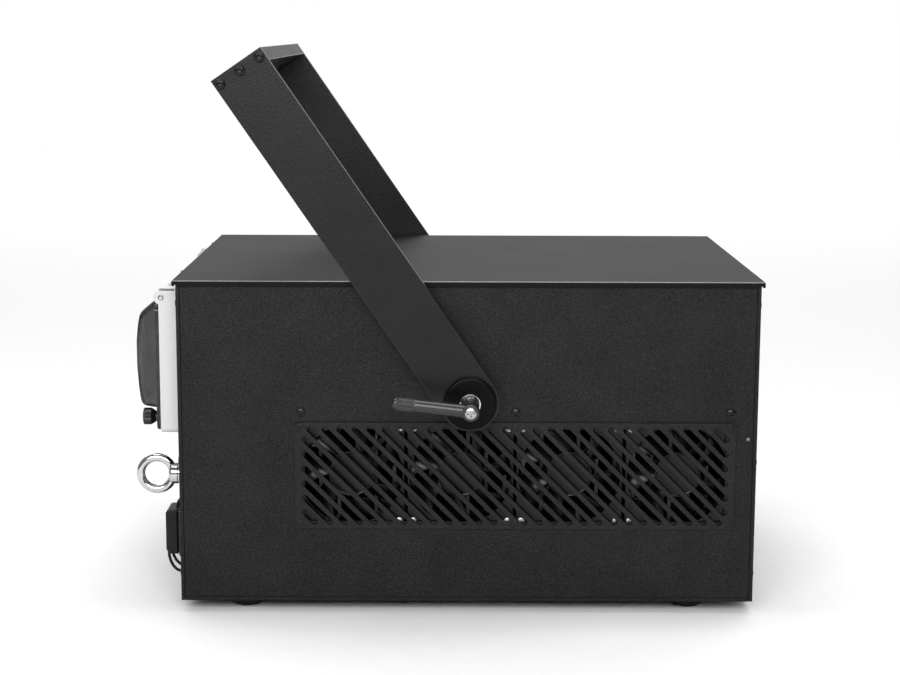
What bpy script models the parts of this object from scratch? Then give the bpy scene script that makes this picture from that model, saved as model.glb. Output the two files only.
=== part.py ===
"""Stage laser projector: a fan-cooled case in a tilting yoke, with a hinged window over its rear controls.

+X is the front, +Y the left side, +Z up, and the feet stand at Z = 0.
"""

import math

import bmesh
import bpy
from mathutils import Matrix, Vector

# Gaps between pieces
SEAT = 0.0003
RUN = 0.0005

# Case of flat plates under a lipped lid
CASE_LENGTH = 0.500
CASE_WIDTH = 0.352
CASE_HEIGHT = 0.283
PLATE = 0.0032
LID_SHEET = 0.0020
LID_OVERHANG = 0.0030
LID_LIP = 0.0050
FRAME_BAR = 0.0120
FOOT_DIAMETER = 0.032
FOOT_HEIGHT = 0.010
FOOT_INSET_X = 0.055
FOOT_INSET_Y = 0.0295

# Row of fans behind the slotted grilles
FAN_SIZE = 0.092
FAN_DEPTH = 0.025
FAN_SPACE = 0.0025
FAN_COUNT = 4
FAN_ROW_DROP = 0.1703
FAN_WALL = 0.002
FAN_HUB = 0.040
FAN_STRUTS = 4
FAN_STRUT_WIDTH = 0.005
FAN_BLADES = 7
FAN_PITCH_ANGLE = math.radians(42)
FAN_SHAFT = 0.004
GRILLE_FRONT = 0.01825
GRILLE_BORDER = 0.0035
GRILLE_SHEET = 0.0020
GRILLE_CORNER = 0.004
SLOT_COUNT = 34
SLOT_PITCH = 0.0130
SLOT_WIDTH = 0.0050
SLOT_MARGIN_X = 0.0088
SLOT_MARGIN_Z = 0.0062
SCREW_MARGIN = 0.0047
SCREW_CLEAR = 0.0078

# Optics on their bench, over the heat sink
BENCH_RISE = 0.0098
BENCH_SHEET = 0.012
BENCH_REAR = 0.092
FIN_COUNT = 24
FIN_SHEET = 0.003
SINK_BASE = 0.010
LASER_SIZE = (0.090, 0.062, 0.050)
LASER_SPREAD = 0.100
LASER_REAR = 0.110
MIRROR_SIZE = (0.030, 0.004, 0.032)
MIRROR_STEP = 0.032
TRAY_SHEET = 0.008
MOTOR_DIAMETER = 0.014
MOTOR_LENGTH = 0.040
SCAN_SHAFT = 0.003
SCAN_SETBACK = 0.045
WINDOW_SIZE = (0.080, 0.060)
WINDOW_LEDGE = 0.004
BEZEL_BORDER = 0.012
BEZEL_SHEET = 0.003

# Electronics
SUPPLY_SIZE = (0.215, 0.115)
SUPPLY_HEADROOM = 0.0152
BOARD_SIZE = (0.180, 0.090)
BOARD_SHEET = 0.0016
BOARD_STANDOFF = 0.010

# Yoke and its clamps
PIVOT_X = 0.0016
PIVOT_RISE = 0.0125
BOSS_LENGTH = 0.013
BOSS_DIAMETER = 0.040
SPIGOT_DIAMETER = 0.020
SPIGOT_LENGTH = 0.016
STUD_DIAMETER = 0.010
ARM_LENGTH = 0.345
ARM_WIDTH = 0.050
ARM_SHEET = 0.006
CROSSBAR_SHEET = 0.0125
CLAMP_HOLE = 0.013
SIDE_HOLE = 0.011
SIDE_HOLE_SPREAD = 0.060
YOKE_TILT = math.radians(34.5)
DISC_DIAMETER = 0.045
DISC_SHEET = 0.006
LEVER_HUB = 0.0145
LEVER_HEIGHT = 0.0385
LEVER_LENGTH = 0.064
LEVER_BAR = 0.0110
LEVER_RISE = math.radians(6.5)
LEVER_SCREW = 0.0100
LEVER_SCREW_HEAD = 0.0024
LEVER_SCREW_SHANK = 0.0040

# Hinged window over the rear controls
COVER_WIDTH = 0.300
COVER_BOTTOM = 0.144
COVER_DROP = 0.010
COVER_DEPTH = 0.0189
COVER_RIM = (0.018, 0.023)
KNUCKLE_RADIUS = 0.0065
KNUCKLE_LENGTH = 0.012
BARREL_RADIUS = 0.0042
END_SLIT = (0.006, 0.002)
END_SLIT_DROP = 0.0013
HINGE_DROP = 0.009
HINGE_SINK = 0.0024
PIN_DIAMETER = 0.004
FLANGE_SHEET = 0.0035
FLANGE_INSET = 0.003
DOME_LIFT = 0.0175
DOME_RISE = 0.0154
DOME_SWELL = 0.0018
DOME_CROWN = 0.0034
DOME_WALL = 0.0025
THUMB_DIAMETER = 0.0150
THUMB_GRIP = 0.0072
THUMB_CONE = 0.0040
THUMB_NECK = 0.0032
THUMB_COLLAR = 0.009
THUMB_SHANK = 0.006
THUMB_INSET = (0.022, 0.0107)

# Controls behind that window
CONTROL_SHEET = 0.002
DISPLAY_SIZE = (0.090, 0.044, 0.004)
KNOB_DIAMETER = 0.020
KNOB_LENGTH = 0.014
LOCK_DIAMETER = 0.018
LOCK_LENGTH = 0.008
KEY_PLUG = 0.0078
KEY_BOW = 0.015
ROCKER_SIZE = (0.017, 0.025, 0.006)
ROCKER_RIM = 0.003
DISPLAY_X = -0.054
KNOB_X = 0.018
LOCK_X = 0.05625
ROCKER_X = 0.0945

# Rear sockets with tethered caps, and the safety eye
SOCKET_INSET = 0.036
SOCKET_Z = 0.0555
SOCKET_FLANGE = (0.034, 0.044, 0.0042)
SOCKET_BARREL = 0.024
SOCKET_BORE = 0.019
SOCKET_DEPTH = 0.022
CAP_WIDTH = 0.030
CAP_HEIGHT = 0.0397
CAP_DEPTH = 0.0110
CAP_CHAMFER = 0.004
TAB_HEIGHT = 0.0062
TETHER_DROP = 0.0195
TETHER_SHEET = 0.0026
TETHER_WIDTH = 0.003
TETHER_SPREAD = 0.009
EYE_INSET = 0.026
EYE_Z = 0.1081
EYE_RING = 0.036
EYE_WIRE = 0.0075
EYE_STANDOFF = 0.0050
EYE_COLLAR = 0.0184
EYE_COLLAR_LENGTH = 0.0118
EYE_SHANK = 0.008

# Places worked out from the sizes above
FAN_PITCH = FAN_SIZE + FAN_SPACE
FAN_BORE = FAN_SIZE - 2 * FAN_WALL
GRILLE_LENGTH = FAN_COUNT * FAN_PITCH + GRILLE_BORDER
GRILLE_HEIGHT = FAN_SIZE + FAN_SPACE
FAN_ROW_X = CASE_LENGTH / 2 - GRILLE_FRONT - GRILLE_LENGTH / 2
FAN_ROW_Z = CASE_HEIGHT - FAN_ROW_DROP
BENCH_Z = FAN_ROW_Z + FAN_SIZE / 2 + BENCH_RISE
BENCH_TOP = BENCH_Z + BENCH_SHEET / 2
BEAM_Z = BENCH_TOP + SEAT + LASER_SIZE[2] / 2
PIVOT_Z = BENCH_Z + PIVOT_RISE
INNER_X = CASE_LENGTH / 2 - PLATE - SEAT
INNER_Y = CASE_WIDTH / 2 - PLATE - SEAT
PANEL_TOP = CASE_HEIGHT - LID_SHEET - SEAT
ARM_INNER = CASE_WIDTH / 2 + BOSS_LENGTH
ARM_OUTER = ARM_INNER + ARM_SHEET
COVER_TOP = CASE_HEIGHT - COVER_DROP
COVER_HEIGHT = COVER_TOP - COVER_BOTTOM
COVER_Z = COVER_TOP - COVER_HEIGHT / 2
HINGE_Z = COVER_TOP - HINGE_DROP
HINGE_OUT = COVER_DEPTH - HINGE_SINK
BARREL_LENGTH = COVER_WIDTH - 2 * KNUCKLE_LENGTH - 2 * RUN
FLANGE_OUT = COVER_DEPTH + SEAT
SOCKET_Y = CASE_WIDTH / 2 - SOCKET_INSET
CAP_FACE = SOCKET_FLANGE[2] + 2 * SEAT
EYE_Y = CASE_WIDTH / 2 - EYE_INSET
DOME_REACH = FLANGE_OUT + FLANGE_SHEET + DOME_RISE + DOME_CROWN
REAR_REACH = CASE_LENGTH / 2 + max(EYE_STANDOFF + EYE_RING, DOME_REACH)
FRONT_REACH = CASE_LENGTH / 2 + SEAT + BEZEL_SHEET
CASE_X = (REAR_REACH - FRONT_REACH) / 2

# Turns from a shape's own frame, drawn flat in XY and rising along Z, to where it sits
TO_RIGHT = Matrix.Rotation(math.pi / 2, 4, "X")
TO_FRONT = Matrix(((0, 0, 1, 0), (1, 0, 0, 0), (0, 1, 0, 0), (0, 0, 0, 1)))
TO_REAR = Matrix(((0, 0, -1, 0), (-1, 0, 0, 0), (0, 1, 0, 0), (0, 0, 0, 1)))
RIGHT, LEFT = -1, 1


def clear_scene():
    for item in list(bpy.data.objects):
        bpy.data.objects.remove(item, do_unlink=True)


def finish(name, colour, roughness, metallic=0.0):
    """A plain material for one kind of surface."""
    surface = bpy.data.materials.new(name)
    surface.use_nodes = True
    shader = surface.node_tree.nodes["Principled BSDF"]
    shader.inputs["Base Color"].default_value = (*colour, 1)
    shader.inputs["Roughness"].default_value = roughness
    shader.inputs["Metallic"].default_value = metallic
    return surface


def circle(diameter, steps=24, centre=(0, 0)):
    turn = 2 * math.pi / steps
    return [
        (centre[0] + diameter / 2 * math.cos(turn * step), centre[1] + diameter / 2 * math.sin(turn * step))
        for step in range(steps)
    ]


def rounded_rectangle(width, height, radius, steps=4, centre=(0, 0)):
    points = []
    for corner, (side_x, side_y) in enumerate(((1, 1), (-1, 1), (-1, -1), (1, -1))):
        middle_x = centre[0] + side_x * (width / 2 - radius)
        middle_y = centre[1] + side_y * (height / 2 - radius)
        for step in range(steps + 1):
            angle = math.pi / 2 * (corner + step / steps)
            points.append((middle_x + radius * math.cos(angle), middle_y + radius * math.sin(angle)))
    return points


def rectangle(width, height, centre=(0, 0)):
    half_x, half_y = width / 2, height / 2
    corners = ((1, 1), (-1, 1), (-1, -1), (1, -1))
    return [(centre[0] + x * half_x, centre[1] + y * half_y) for x, y in corners]


def round_ended(start, end, width, steps=3):
    """The outline of a slot between two end centres."""
    heading = math.atan2(end[1] - start[1], end[0] - start[0])
    points = []
    for centre, first in ((end, heading - math.pi / 2), (start, heading + math.pi / 2)):
        for step in range(steps + 1):
            angle = first + math.pi * step / steps
            points.append((centre[0] + width / 2 * math.cos(angle), centre[1] + width / 2 * math.sin(angle)))
    return points


def plate(outline, thickness, holes=()):
    """A flat sheet in XY with holes through it, rising from Z = 0."""
    shape = bmesh.new()
    for loop in (outline, *holes):
        corners = [shape.verts.new((x, y, 0)) for x, y in loop]
        for first, second in zip(corners, corners[1:] + corners[:1]):
            shape.edges.new((first, second))
    bmesh.ops.triangle_fill(shape, use_beauty=True, edges=shape.edges[:])
    raised = bmesh.ops.extrude_face_region(shape, geom=shape.faces[:], use_keep_orig=True)
    tops = [item for item in raised["geom"] if isinstance(item, bmesh.types.BMVert)]
    bmesh.ops.translate(shape, vec=(0, 0, thickness), verts=tops)
    bmesh.ops.recalc_face_normals(shape, faces=shape.faces[:])
    return shape


def block(size, centre=(0, 0, 0)):
    shape = bmesh.new()
    bmesh.ops.create_cube(shape, size=1)
    bmesh.ops.scale(shape, vec=size, verts=shape.verts)
    bmesh.ops.translate(shape, vec=centre, verts=shape.verts)
    return shape


def loft(loops, ring=False):
    """Faces between loops of points that match one to one, with caps unless the last loop meets the first."""
    shape = bmesh.new()
    rows = [[shape.verts.new(point) for point in loop] for loop in loops]
    pairs = list(zip(rows, rows[1:]))
    if ring:
        pairs.append((rows[-1], rows[0]))
    for lower, upper in pairs:
        count = max(len(lower), len(upper))
        for step in range(count):
            after = (step + 1) % count
            quad = (
                lower[step % len(lower)],
                lower[after % len(lower)],
                upper[after % len(upper)],
                upper[step % len(upper)],
            )
            shape.faces.new(dict.fromkeys(quad))
    if not ring:
        for row in (rows[0], rows[-1]):
            if len(row) > 2:
                shape.faces.new(row)
    bmesh.ops.recalc_face_normals(shape, faces=shape.faces[:])
    return shape


def turned(profile, steps=24, ring=False):
    """A solid turned about Z from (radius, height) points. A ring's profile is closed and off the axis."""
    loops = []
    for radius, height in profile:
        if radius == 0:
            loops.append([(0, 0, height)])
        else:
            loops.append([(x, y, height) for x, y in circle(2 * radius, steps)])
    return loft(loops, ring)


def rod(diameter, length, steps=16):
    return turned(((0, 0), (diameter / 2, 0), (diameter / 2, length), (0, length)), steps)


def moved(shape, matrix):
    bmesh.ops.transform(shape, matrix=matrix, verts=shape.verts)
    return shape


def shifted(shape, x=0, y=0, z=0):
    return moved(shape, Matrix.Translation((x, y, z)))


def sideways(shape, side):
    """A shape drawn for the right side, or its mirror image for the left."""
    moved(shape, TO_RIGHT)
    if side == LEFT:
        moved(shape, Matrix.Diagonal((1, -1, 1, 1)))
        bmesh.ops.reverse_faces(shape, faces=shape.faces[:])
    return shape


def as_mesh(shape, name):
    mesh = bpy.data.meshes.new(name)
    shape.to_mesh(mesh)
    shape.free()
    return mesh


def combined(first, second, operation):
    """The Boolean of two shapes."""
    base = bpy.data.objects.new("base", as_mesh(first, "base"))
    tool = bpy.data.objects.new("tool", as_mesh(second, "tool"))
    for item in (base, tool):
        bpy.context.scene.collection.objects.link(item)
    step = base.modifiers.new("step", "BOOLEAN")
    step.operation = operation
    step.solver = "EXACT"
    step.object = tool
    graph = bpy.context.evaluated_depsgraph_get()
    result = bmesh.new()
    result.from_object(base, graph)
    for item in (base, tool):
        mesh = item.data
        bpy.data.objects.remove(item)
        bpy.data.meshes.remove(mesh)
    return result


def joined(shape, *others):
    for other in others:
        shape = combined(shape, other, "UNION")
    return shape


def cut(shape, *cutters):
    for cutter in cutters:
        shape = combined(shape, cutter, "DIFFERENCE")
    return shape


def add(name, shape, surface, parent, place=(0, 0, 0), sharp=math.radians(35)):
    """A named piece on its parent, with round stretches shaded smooth."""
    mesh = shape if isinstance(shape, bpy.types.Mesh) else as_mesh(shape, name)
    if not mesh.materials:
        mesh.materials.append(surface)
        mesh.shade_smooth()
        mesh.set_sharp_from_angle(angle=sharp)
    piece = bpy.data.objects.new(name, mesh)
    bpy.context.scene.collection.objects.link(piece)
    piece.parent = parent
    piece.location = place
    return piece


def empty(name, place, parent=None):
    holder = bpy.data.objects.new(name, None)
    bpy.context.scene.collection.objects.link(holder)
    holder.parent = parent
    holder.location = place
    return holder


def case_plates(case, paint):
    """Bottom plate and end panels, whose edges show at the sides."""
    floor = block((2 * INNER_X, CASE_WIDTH, PLATE), (0, 0, PLATE / 2))
    add("bottom_plate", floor, paint, case)
    outline = rectangle(CASE_WIDTH, PANEL_TOP, (0, PANEL_TOP / 2))
    bores = [circle(SOCKET_BARREL + 2 * SEAT, 20, (side * SOCKET_Y, SOCKET_Z)) for side in (RIGHT, LEFT)]
    bores.append(circle(EYE_SHANK + 2 * SEAT, 16, (EYE_Y, EYE_Z)))
    rear = moved(plate(outline, PLATE, bores), TO_REAR)
    add("rear_panel", rear, paint, case, (PLATE - CASE_LENGTH / 2, 0, 0))
    opening = rectangle(WINDOW_SIZE[0] + 2 * WINDOW_LEDGE, WINDOW_SIZE[1] + 2 * WINDOW_LEDGE, (0, window_z()))
    front = moved(plate(outline, PLATE, [opening]), TO_FRONT)
    add("front_panel", front, paint, case, (CASE_LENGTH / 2 - PLATE, 0, 0))


def window_z():
    """The beam leaves at the height of the upper scanning mirror."""
    return BEAM_Z + MOTOR_DIAMETER


def side_panels(case, paint):
    """Sides between the end panels, open behind the grilles and bored for the pivots."""
    low = PLATE + SEAT
    for side, name in ((RIGHT, "side_panel_right"), (LEFT, "side_panel_left")):
        outline = rectangle(2 * INNER_X, PANEL_TOP - low, (0, (PANEL_TOP + low) / 2))
        length = GRILLE_LENGTH - 2 * SLOT_MARGIN_X
        height = GRILLE_HEIGHT - 2 * SLOT_MARGIN_Z
        opening = rounded_rectangle(length, height, GRILLE_CORNER, 4, (FAN_ROW_X, FAN_ROW_Z))
        bore = circle(SPIGOT_DIAMETER + 2 * SEAT, 20, (PIVOT_X, PIVOT_Z))
        panel = sideways(plate(outline, PLATE, [opening, bore]), side)
        add(name, panel, paint, case, (0, side * (CASE_WIDTH / 2 - PLATE), 0))


def lid(case, paint):
    """Shallow lid whose lips lap over the panels."""
    length = CASE_LENGTH + 2 * LID_OVERHANG
    width = CASE_WIDTH + 2 * LID_OVERHANG
    tray = block((length, width, LID_LIP), (0, 0, -LID_LIP / 2))
    hollow = block((length - 2 * LID_SHEET, width - 2 * LID_SHEET, LID_LIP), (0, 0, -LID_SHEET - LID_LIP / 2))
    add("top_lid", cut(tray, hollow), paint, case, (0, 0, CASE_HEIGHT))


def inner_frames(case, steel):
    """Square-bar frames inside the end panels, which the plates screw to."""
    low, high, bar = PLATE + SEAT, PANEL_TOP, FRAME_BAR
    outline = [
        (-INNER_Y, low),
        (INNER_Y, low),
        (INNER_Y, high),
        (INNER_Y - bar, high),
        (INNER_Y - bar, low + bar),
        (bar - INNER_Y, low + bar),
        (bar - INNER_Y, high),
        (-INNER_Y, high),
    ]
    for name, start in (("front_frame", INNER_X - FRAME_BAR), ("rear_frame", -INNER_X)):
        add(name, moved(plate(outline, FRAME_BAR), TO_FRONT), steel, case, (start, 0, 0))


def feet(case, rubber):
    radius, chamfer = FOOT_DIAMETER / 2, FOOT_HEIGHT / 4
    profile = (
        (0, -FOOT_HEIGHT),
        (radius - chamfer, -FOOT_HEIGHT),
        (radius, chamfer - FOOT_HEIGHT),
        (radius, -SEAT),
        (0, -SEAT),
    )
    mesh = as_mesh(turned(profile, 20), "rubber_foot")
    reach_x = CASE_LENGTH / 2 - FOOT_INSET_X
    reach_y = CASE_WIDTH / 2 - FOOT_INSET_Y
    for number, (x, y) in enumerate(rectangle(2 * reach_x, 2 * reach_y), 1):
        add(f"rubber_foot_{number}", mesh, rubber, case, (x, y, 0))


def clear_of_screws(end, step, screws):
    """A slot's end drawn back along the slot until it leaves room for the screw heads."""
    point = Vector(end)
    while min((point - screw).length for screw in screws) < SCREW_CLEAR:
        point += step
    return point


def grilles(case, paint):
    """Sheets of slots that slant down towards the front, over the fans and over the outlet."""
    half_x = GRILLE_LENGTH / 2 - SLOT_MARGIN_X
    half_z = GRILLE_HEIGHT / 2 - SLOT_MARGIN_Z
    screw_x = GRILLE_LENGTH / 2 - SCREW_MARGIN
    screw_z = GRILLE_HEIGHT / 2 - SCREW_MARGIN
    screws = [Vector((x, z)) for x in (-screw_x, 0, screw_x) for z in (-screw_z, screw_z)]
    along = Vector((0.0002, -0.0002))
    slots = []
    for number in range(SLOT_COUNT):
        across = (number - (SLOT_COUNT - 1) / 2) * SLOT_PITCH
        top = min(half_z, across + half_x)
        bottom = max(-half_z, across - half_x)
        if top - bottom < SLOT_WIDTH:
            continue
        start = clear_of_screws((across - top, top), along, screws)
        end = clear_of_screws((across - bottom, bottom), -along, screws)
        slots.append(round_ended(start, end, SLOT_WIDTH))
    outline = rounded_rectangle(GRILLE_LENGTH, GRILLE_HEIGHT, GRILLE_CORNER)
    for side, name in ((RIGHT, "intake_grille"), (LEFT, "exhaust_grille")):
        sheet = sideways(plate(outline, GRILLE_SHEET, slots), side)
        add(name, sheet, paint, case, (FAN_ROW_X, side * (CASE_WIDTH / 2 + SEAT), FAN_ROW_Z))


def fan_frame():
    """Square fan frame: a bored ring, and struts that carry the motor seat at its inner end."""
    seat_depth = FAN_DEPTH / 6
    ring = plate(rounded_rectangle(FAN_SIZE, FAN_SIZE, GRILLE_CORNER, 3), FAN_DEPTH, [circle(FAN_BORE, 24)])
    shape = ring
    span = (FAN_BORE - FAN_HUB) / 2 + FAN_WALL
    for number in range(FAN_STRUTS):
        middle = FAN_HUB / 2 + span / 2 - FAN_WALL / 2
        strut = block((span, FAN_STRUT_WIDTH, seat_depth), (middle, 0, seat_depth / 2))
        moved(strut, Matrix.Rotation(2 * math.pi * (number + 0.5) / FAN_STRUTS, 4, "Z"))
        shape = joined(shape, strut)
    bore = FAN_SHAFT / 2 + RUN
    seat = turned(((bore, 0), (FAN_HUB / 2, 0), (FAN_HUB / 2, seat_depth), (bore, seat_depth)), 16, ring=True)
    return joined(shape, seat)


def fan_rotor():
    """Hub with slanted blades and the shaft that runs in the motor seat."""
    seat_depth = FAN_DEPTH / 6
    low = seat_depth + RUN
    high = FAN_DEPTH - FAN_WALL
    hub = turned(
        (
            (0, RUN),
            (FAN_SHAFT / 2, RUN),
            (FAN_SHAFT / 2, low),
            (FAN_HUB / 2, low),
            (FAN_HUB / 2, high - FAN_WALL / 2),
            (FAN_HUB / 2 - FAN_WALL / 2, high),
            (0, high),
        ),
        16,
    )
    tip = FAN_BORE / 2 - 2 * FAN_WALL
    root = FAN_HUB / 2 - FAN_WALL
    chord = high - low
    for number in range(FAN_BLADES):
        blade = block((tip - root, FAN_WALL * 0.7, chord), ((tip + root) / 2, 0, 0))
        moved(blade, Matrix.Rotation(FAN_PITCH_ANGLE, 4, "X"))
        shifted(blade, z=(low + high) / 2)
        moved(blade, Matrix.Rotation(2 * math.pi * number / FAN_BLADES, 4, "Z"))
        hub = joined(hub, blade)
    return hub


def fans(case, plastic):
    """The row of fans, which draw air in through the right side."""
    frame = as_mesh(sideways(fan_frame(), RIGHT), "fan_frame")
    rotor = as_mesh(sideways(fan_rotor(), RIGHT), "fan_rotor")
    inner_face = -(INNER_Y - FAN_DEPTH)
    for number in range(FAN_COUNT):
        x = FAN_ROW_X + (number - (FAN_COUNT - 1) / 2) * FAN_PITCH
        add(f"fan_frame_{number + 1}", frame, plastic, case, (x, inner_face, FAN_ROW_Z))
        add(f"fan_rotor_{number + 1}", rotor, plastic, case, (x, inner_face, FAN_ROW_Z))


def bench(case, aluminium):
    """Bench plate screwed between the sides, notched round the pivot spigots, with the heat sink under it."""
    front, rear = INNER_X - FRAME_BAR - SEAT, BENCH_REAR - CASE_LENGTH / 2
    notch = SPIGOT_DIAMETER / 2 + RUN
    deep = CASE_WIDTH / 2 - SPIGOT_LENGTH - RUN
    behind, ahead = PIVOT_X - notch, PIVOT_X + notch
    edge = [(rear, INNER_Y), (behind, INNER_Y), (behind, deep)]
    edge += [(ahead, deep), (ahead, INNER_Y), (front, INNER_Y)]
    outline = edge + [(x, -y) for x, y in reversed(edge)]
    add("optical_bench", plate(outline, BENCH_SHEET), aluminium, case, (0, 0, BENCH_Z - BENCH_SHEET / 2))
    length = FAN_COUNT * FAN_PITCH - FAN_SPACE
    gap = (length - FIN_COUNT * FIN_SHEET) / (FIN_COUNT - 1)
    top = BENCH_Z - BENCH_SHEET / 2 - SEAT - FAN_ROW_Z
    bottom = -FAN_SIZE / 2
    comb = [(length / 2, top), (-length / 2, top)]
    for number in range(FIN_COUNT):
        start = -length / 2 + number * (FIN_SHEET + gap)
        comb += [(start, bottom), (start + FIN_SHEET, bottom)]
        if number < FIN_COUNT - 1:
            comb += [(start + FIN_SHEET, top - SINK_BASE), (start + FIN_SHEET + gap, top - SINK_BASE)]
    depth = 2 * INNER_Y - FAN_DEPTH - SEAT
    sink = moved(plate(comb, depth), TO_RIGHT)
    add("heat_sink", sink, aluminium, case, (FAN_ROW_X, INNER_Y, FAN_ROW_Z))


def lasers(case, aluminium):
    """Three laser modules side by side, firing forwards."""
    length, width, height = LASER_SIZE
    for name, place in (("laser_module_red", -1), ("laser_module_green", 0), ("laser_module_blue", 1)):
        snout = moved(rod(height / 3, length / 8), TO_FRONT)
        shape = joined(block(LASER_SIZE), shifted(snout, length / 2 - RUN))
        centre = LASER_REAR + length / 2 - CASE_LENGTH / 2
        add(name, shape, aluminium, case, (centre, place * LASER_SPREAD, BEAM_Z))


def mirror_tray(case, aluminium):
    """Tray of mirrors that brings the three beams into one and turns it across to the scanner."""
    start = LASER_REAR + LASER_SIZE[0] + 2 * MIRROR_STEP - CASE_LENGTH / 2
    fold = scanner_x()
    half = MIRROR_SIZE[0] * 0.75
    low = -LASER_SPREAD - half
    outline = [
        (start - half, low),
        (fold + half, low),
        (fold + half, low + 2 * half),
        (start + MIRROR_STEP + half, low + 2 * half),
        (start + MIRROR_STEP + half, LASER_SPREAD + half),
        (start - half, LASER_SPREAD + half),
    ]
    tray = plate(outline, TRAY_SHEET)
    height = BEAM_Z - BENCH_TOP + MIRROR_SIZE[2] / 2 - TRAY_SHEET / 2
    spots = (
        (start, 0, -1),
        (start, -LASER_SPREAD, -1),
        (start + MIRROR_STEP, LASER_SPREAD, -1),
        (start + MIRROR_STEP, -LASER_SPREAD, -1),
        (fold, -LASER_SPREAD, 1),
    )
    for x, y, slant in spots:
        mirror = block((MIRROR_SIZE[0], MIRROR_SIZE[1], height))
        moved(mirror, Matrix.Rotation(slant * math.pi / 4, 4, "Z"))
        tray = joined(tray, shifted(mirror, x, y, TRAY_SHEET / 2 + height / 2))
    add("beam_combiner", tray, aluminium, case, (0, 0, BENCH_TOP + SEAT))


def scanner_x():
    return CASE_LENGTH / 2 - SCAN_SETBACK


def scanner(case, aluminium, glass):
    """Scanner block with two small motors, and the two mirrors that swing on their shafts."""
    x, radius = scanner_x(), MOTOR_DIAMETER / 2
    reach = MOTOR_DIAMETER
    bore = rod(SCAN_SHAFT + 2 * RUN, reach / 2)
    back = moved(cut(rod(MOTOR_DIAMETER, MOTOR_LENGTH, 20), bore), Matrix.Rotation(-math.pi / 2, 4, "Y"))
    bore = rod(SCAN_SHAFT + 2 * RUN, reach / 2)
    side = moved(cut(rod(MOTOR_DIAMETER, MOTOR_LENGTH, 20), bore), Matrix.Rotation(-math.pi / 2, 4, "X"))
    drop = BEAM_Z - BENCH_TOP - SEAT
    block_back = block((MOTOR_LENGTH * 0.6, 2 * reach, drop), (-reach - MOTOR_LENGTH / 2, 0, -drop / 2))
    rise = drop + MOTOR_DIAMETER
    side_place = (0, reach + MOTOR_LENGTH / 2, MOTOR_DIAMETER - rise / 2)
    block_side = block((2 * reach, MOTOR_LENGTH * 0.6, rise), side_place)
    foot_size = (MOTOR_LENGTH + 2 * reach, MOTOR_LENGTH + reach, radius)
    foot = block(foot_size, (-MOTOR_LENGTH / 2, MOTOR_LENGTH / 2, radius / 2 - drop))
    shape = joined(
        foot,
        block_back,
        block_side,
        shifted(back, -reach),
        shifted(side, 0, reach, MOTOR_DIAMETER),
    )
    add("scanner_block", shape, aluminium, case, (x, 0, BEAM_Z))
    blade = block((2 * radius, radius, SCAN_SHAFT / 2))
    moved(blade, Matrix.Rotation(math.pi / 4, 4, "X"))
    shaft = moved(rod(SCAN_SHAFT, reach * 0.8, 12), Matrix.Rotation(-math.pi / 2, 4, "Y"))
    lower = joined(blade, shifted(shaft, -radius / 2))
    add("scan_mirror_x", lower, glass, case, (x, 0, BEAM_Z))
    blade = block((radius, 2 * radius, SCAN_SHAFT / 2))
    moved(blade, Matrix.Rotation(math.pi / 4, 4, "Y"))
    shaft = moved(rod(SCAN_SHAFT, reach * 0.8, 12), Matrix.Rotation(-math.pi / 2, 4, "X"))
    upper = joined(blade, shifted(shaft, 0, radius / 2))
    add("scan_mirror_y", upper, glass, case, (x, 0, BEAM_Z + MOTOR_DIAMETER))


def front_window(case, glass, paint):
    """Clear pane bonded into the front panel, under a bezel."""
    width, height = WINDOW_SIZE
    ledge = 2 * WINDOW_LEDGE - 2 * SEAT
    pane = moved(plate(rectangle(width + ledge, height + ledge), PLATE), TO_FRONT)
    add("output_window", pane, glass, case, (CASE_LENGTH / 2 - PLATE, 0, window_z()))
    border = 2 * BEZEL_BORDER
    outline = rounded_rectangle(width + border, height + border, BEZEL_BORDER / 2)
    opening = rounded_rectangle(width, height, BEZEL_BORDER / 4)
    bezel = moved(plate(outline, BEZEL_SHEET, [opening]), TO_FRONT)
    add("window_bezel", bezel, paint, case, (CASE_LENGTH / 2 + SEAT, 0, window_z()))


def electronics(case, steel, green):
    """Power supply on the bottom plate, and the control board behind the rear panel."""
    length, width = SUPPLY_SIZE
    height = FAN_ROW_Z - FAN_SIZE / 2 - PLATE - SEAT - SUPPLY_HEADROOM
    terminals = block((length / 10, width * 0.7, height / 3), (-length / 2, 0, -height / 4))
    supply = joined(block((length, width, height)), terminals)
    add("power_supply", supply, steel, case, (FAN_ROW_X, 0, PLATE + SEAT + height / 2))
    width, height = BOARD_SIZE
    board = plate(rectangle(width, height), BOARD_SHEET)
    for x, y in rectangle(width - BOARD_STANDOFF, height - BOARD_STANDOFF):
        board = joined(board, shifted(rod(BOARD_STANDOFF / 2, BOARD_STANDOFF + BOARD_SHEET / 2, 12), x, y))
    for x, y, side in ((-width / 4, 0, width / 6), (width / 5, height / 6, width / 8)):
        part = block((side, side, BOARD_STANDOFF), (x, y, -BOARD_STANDOFF / 2 + BOARD_SHEET / 2))
        board = joined(board, part)
    moved(board, TO_REAR)
    inner = -INNER_X + BOARD_STANDOFF + BOARD_SHEET / 2
    add("control_board", board, green, case, (inner, 0, COVER_Z))


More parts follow.
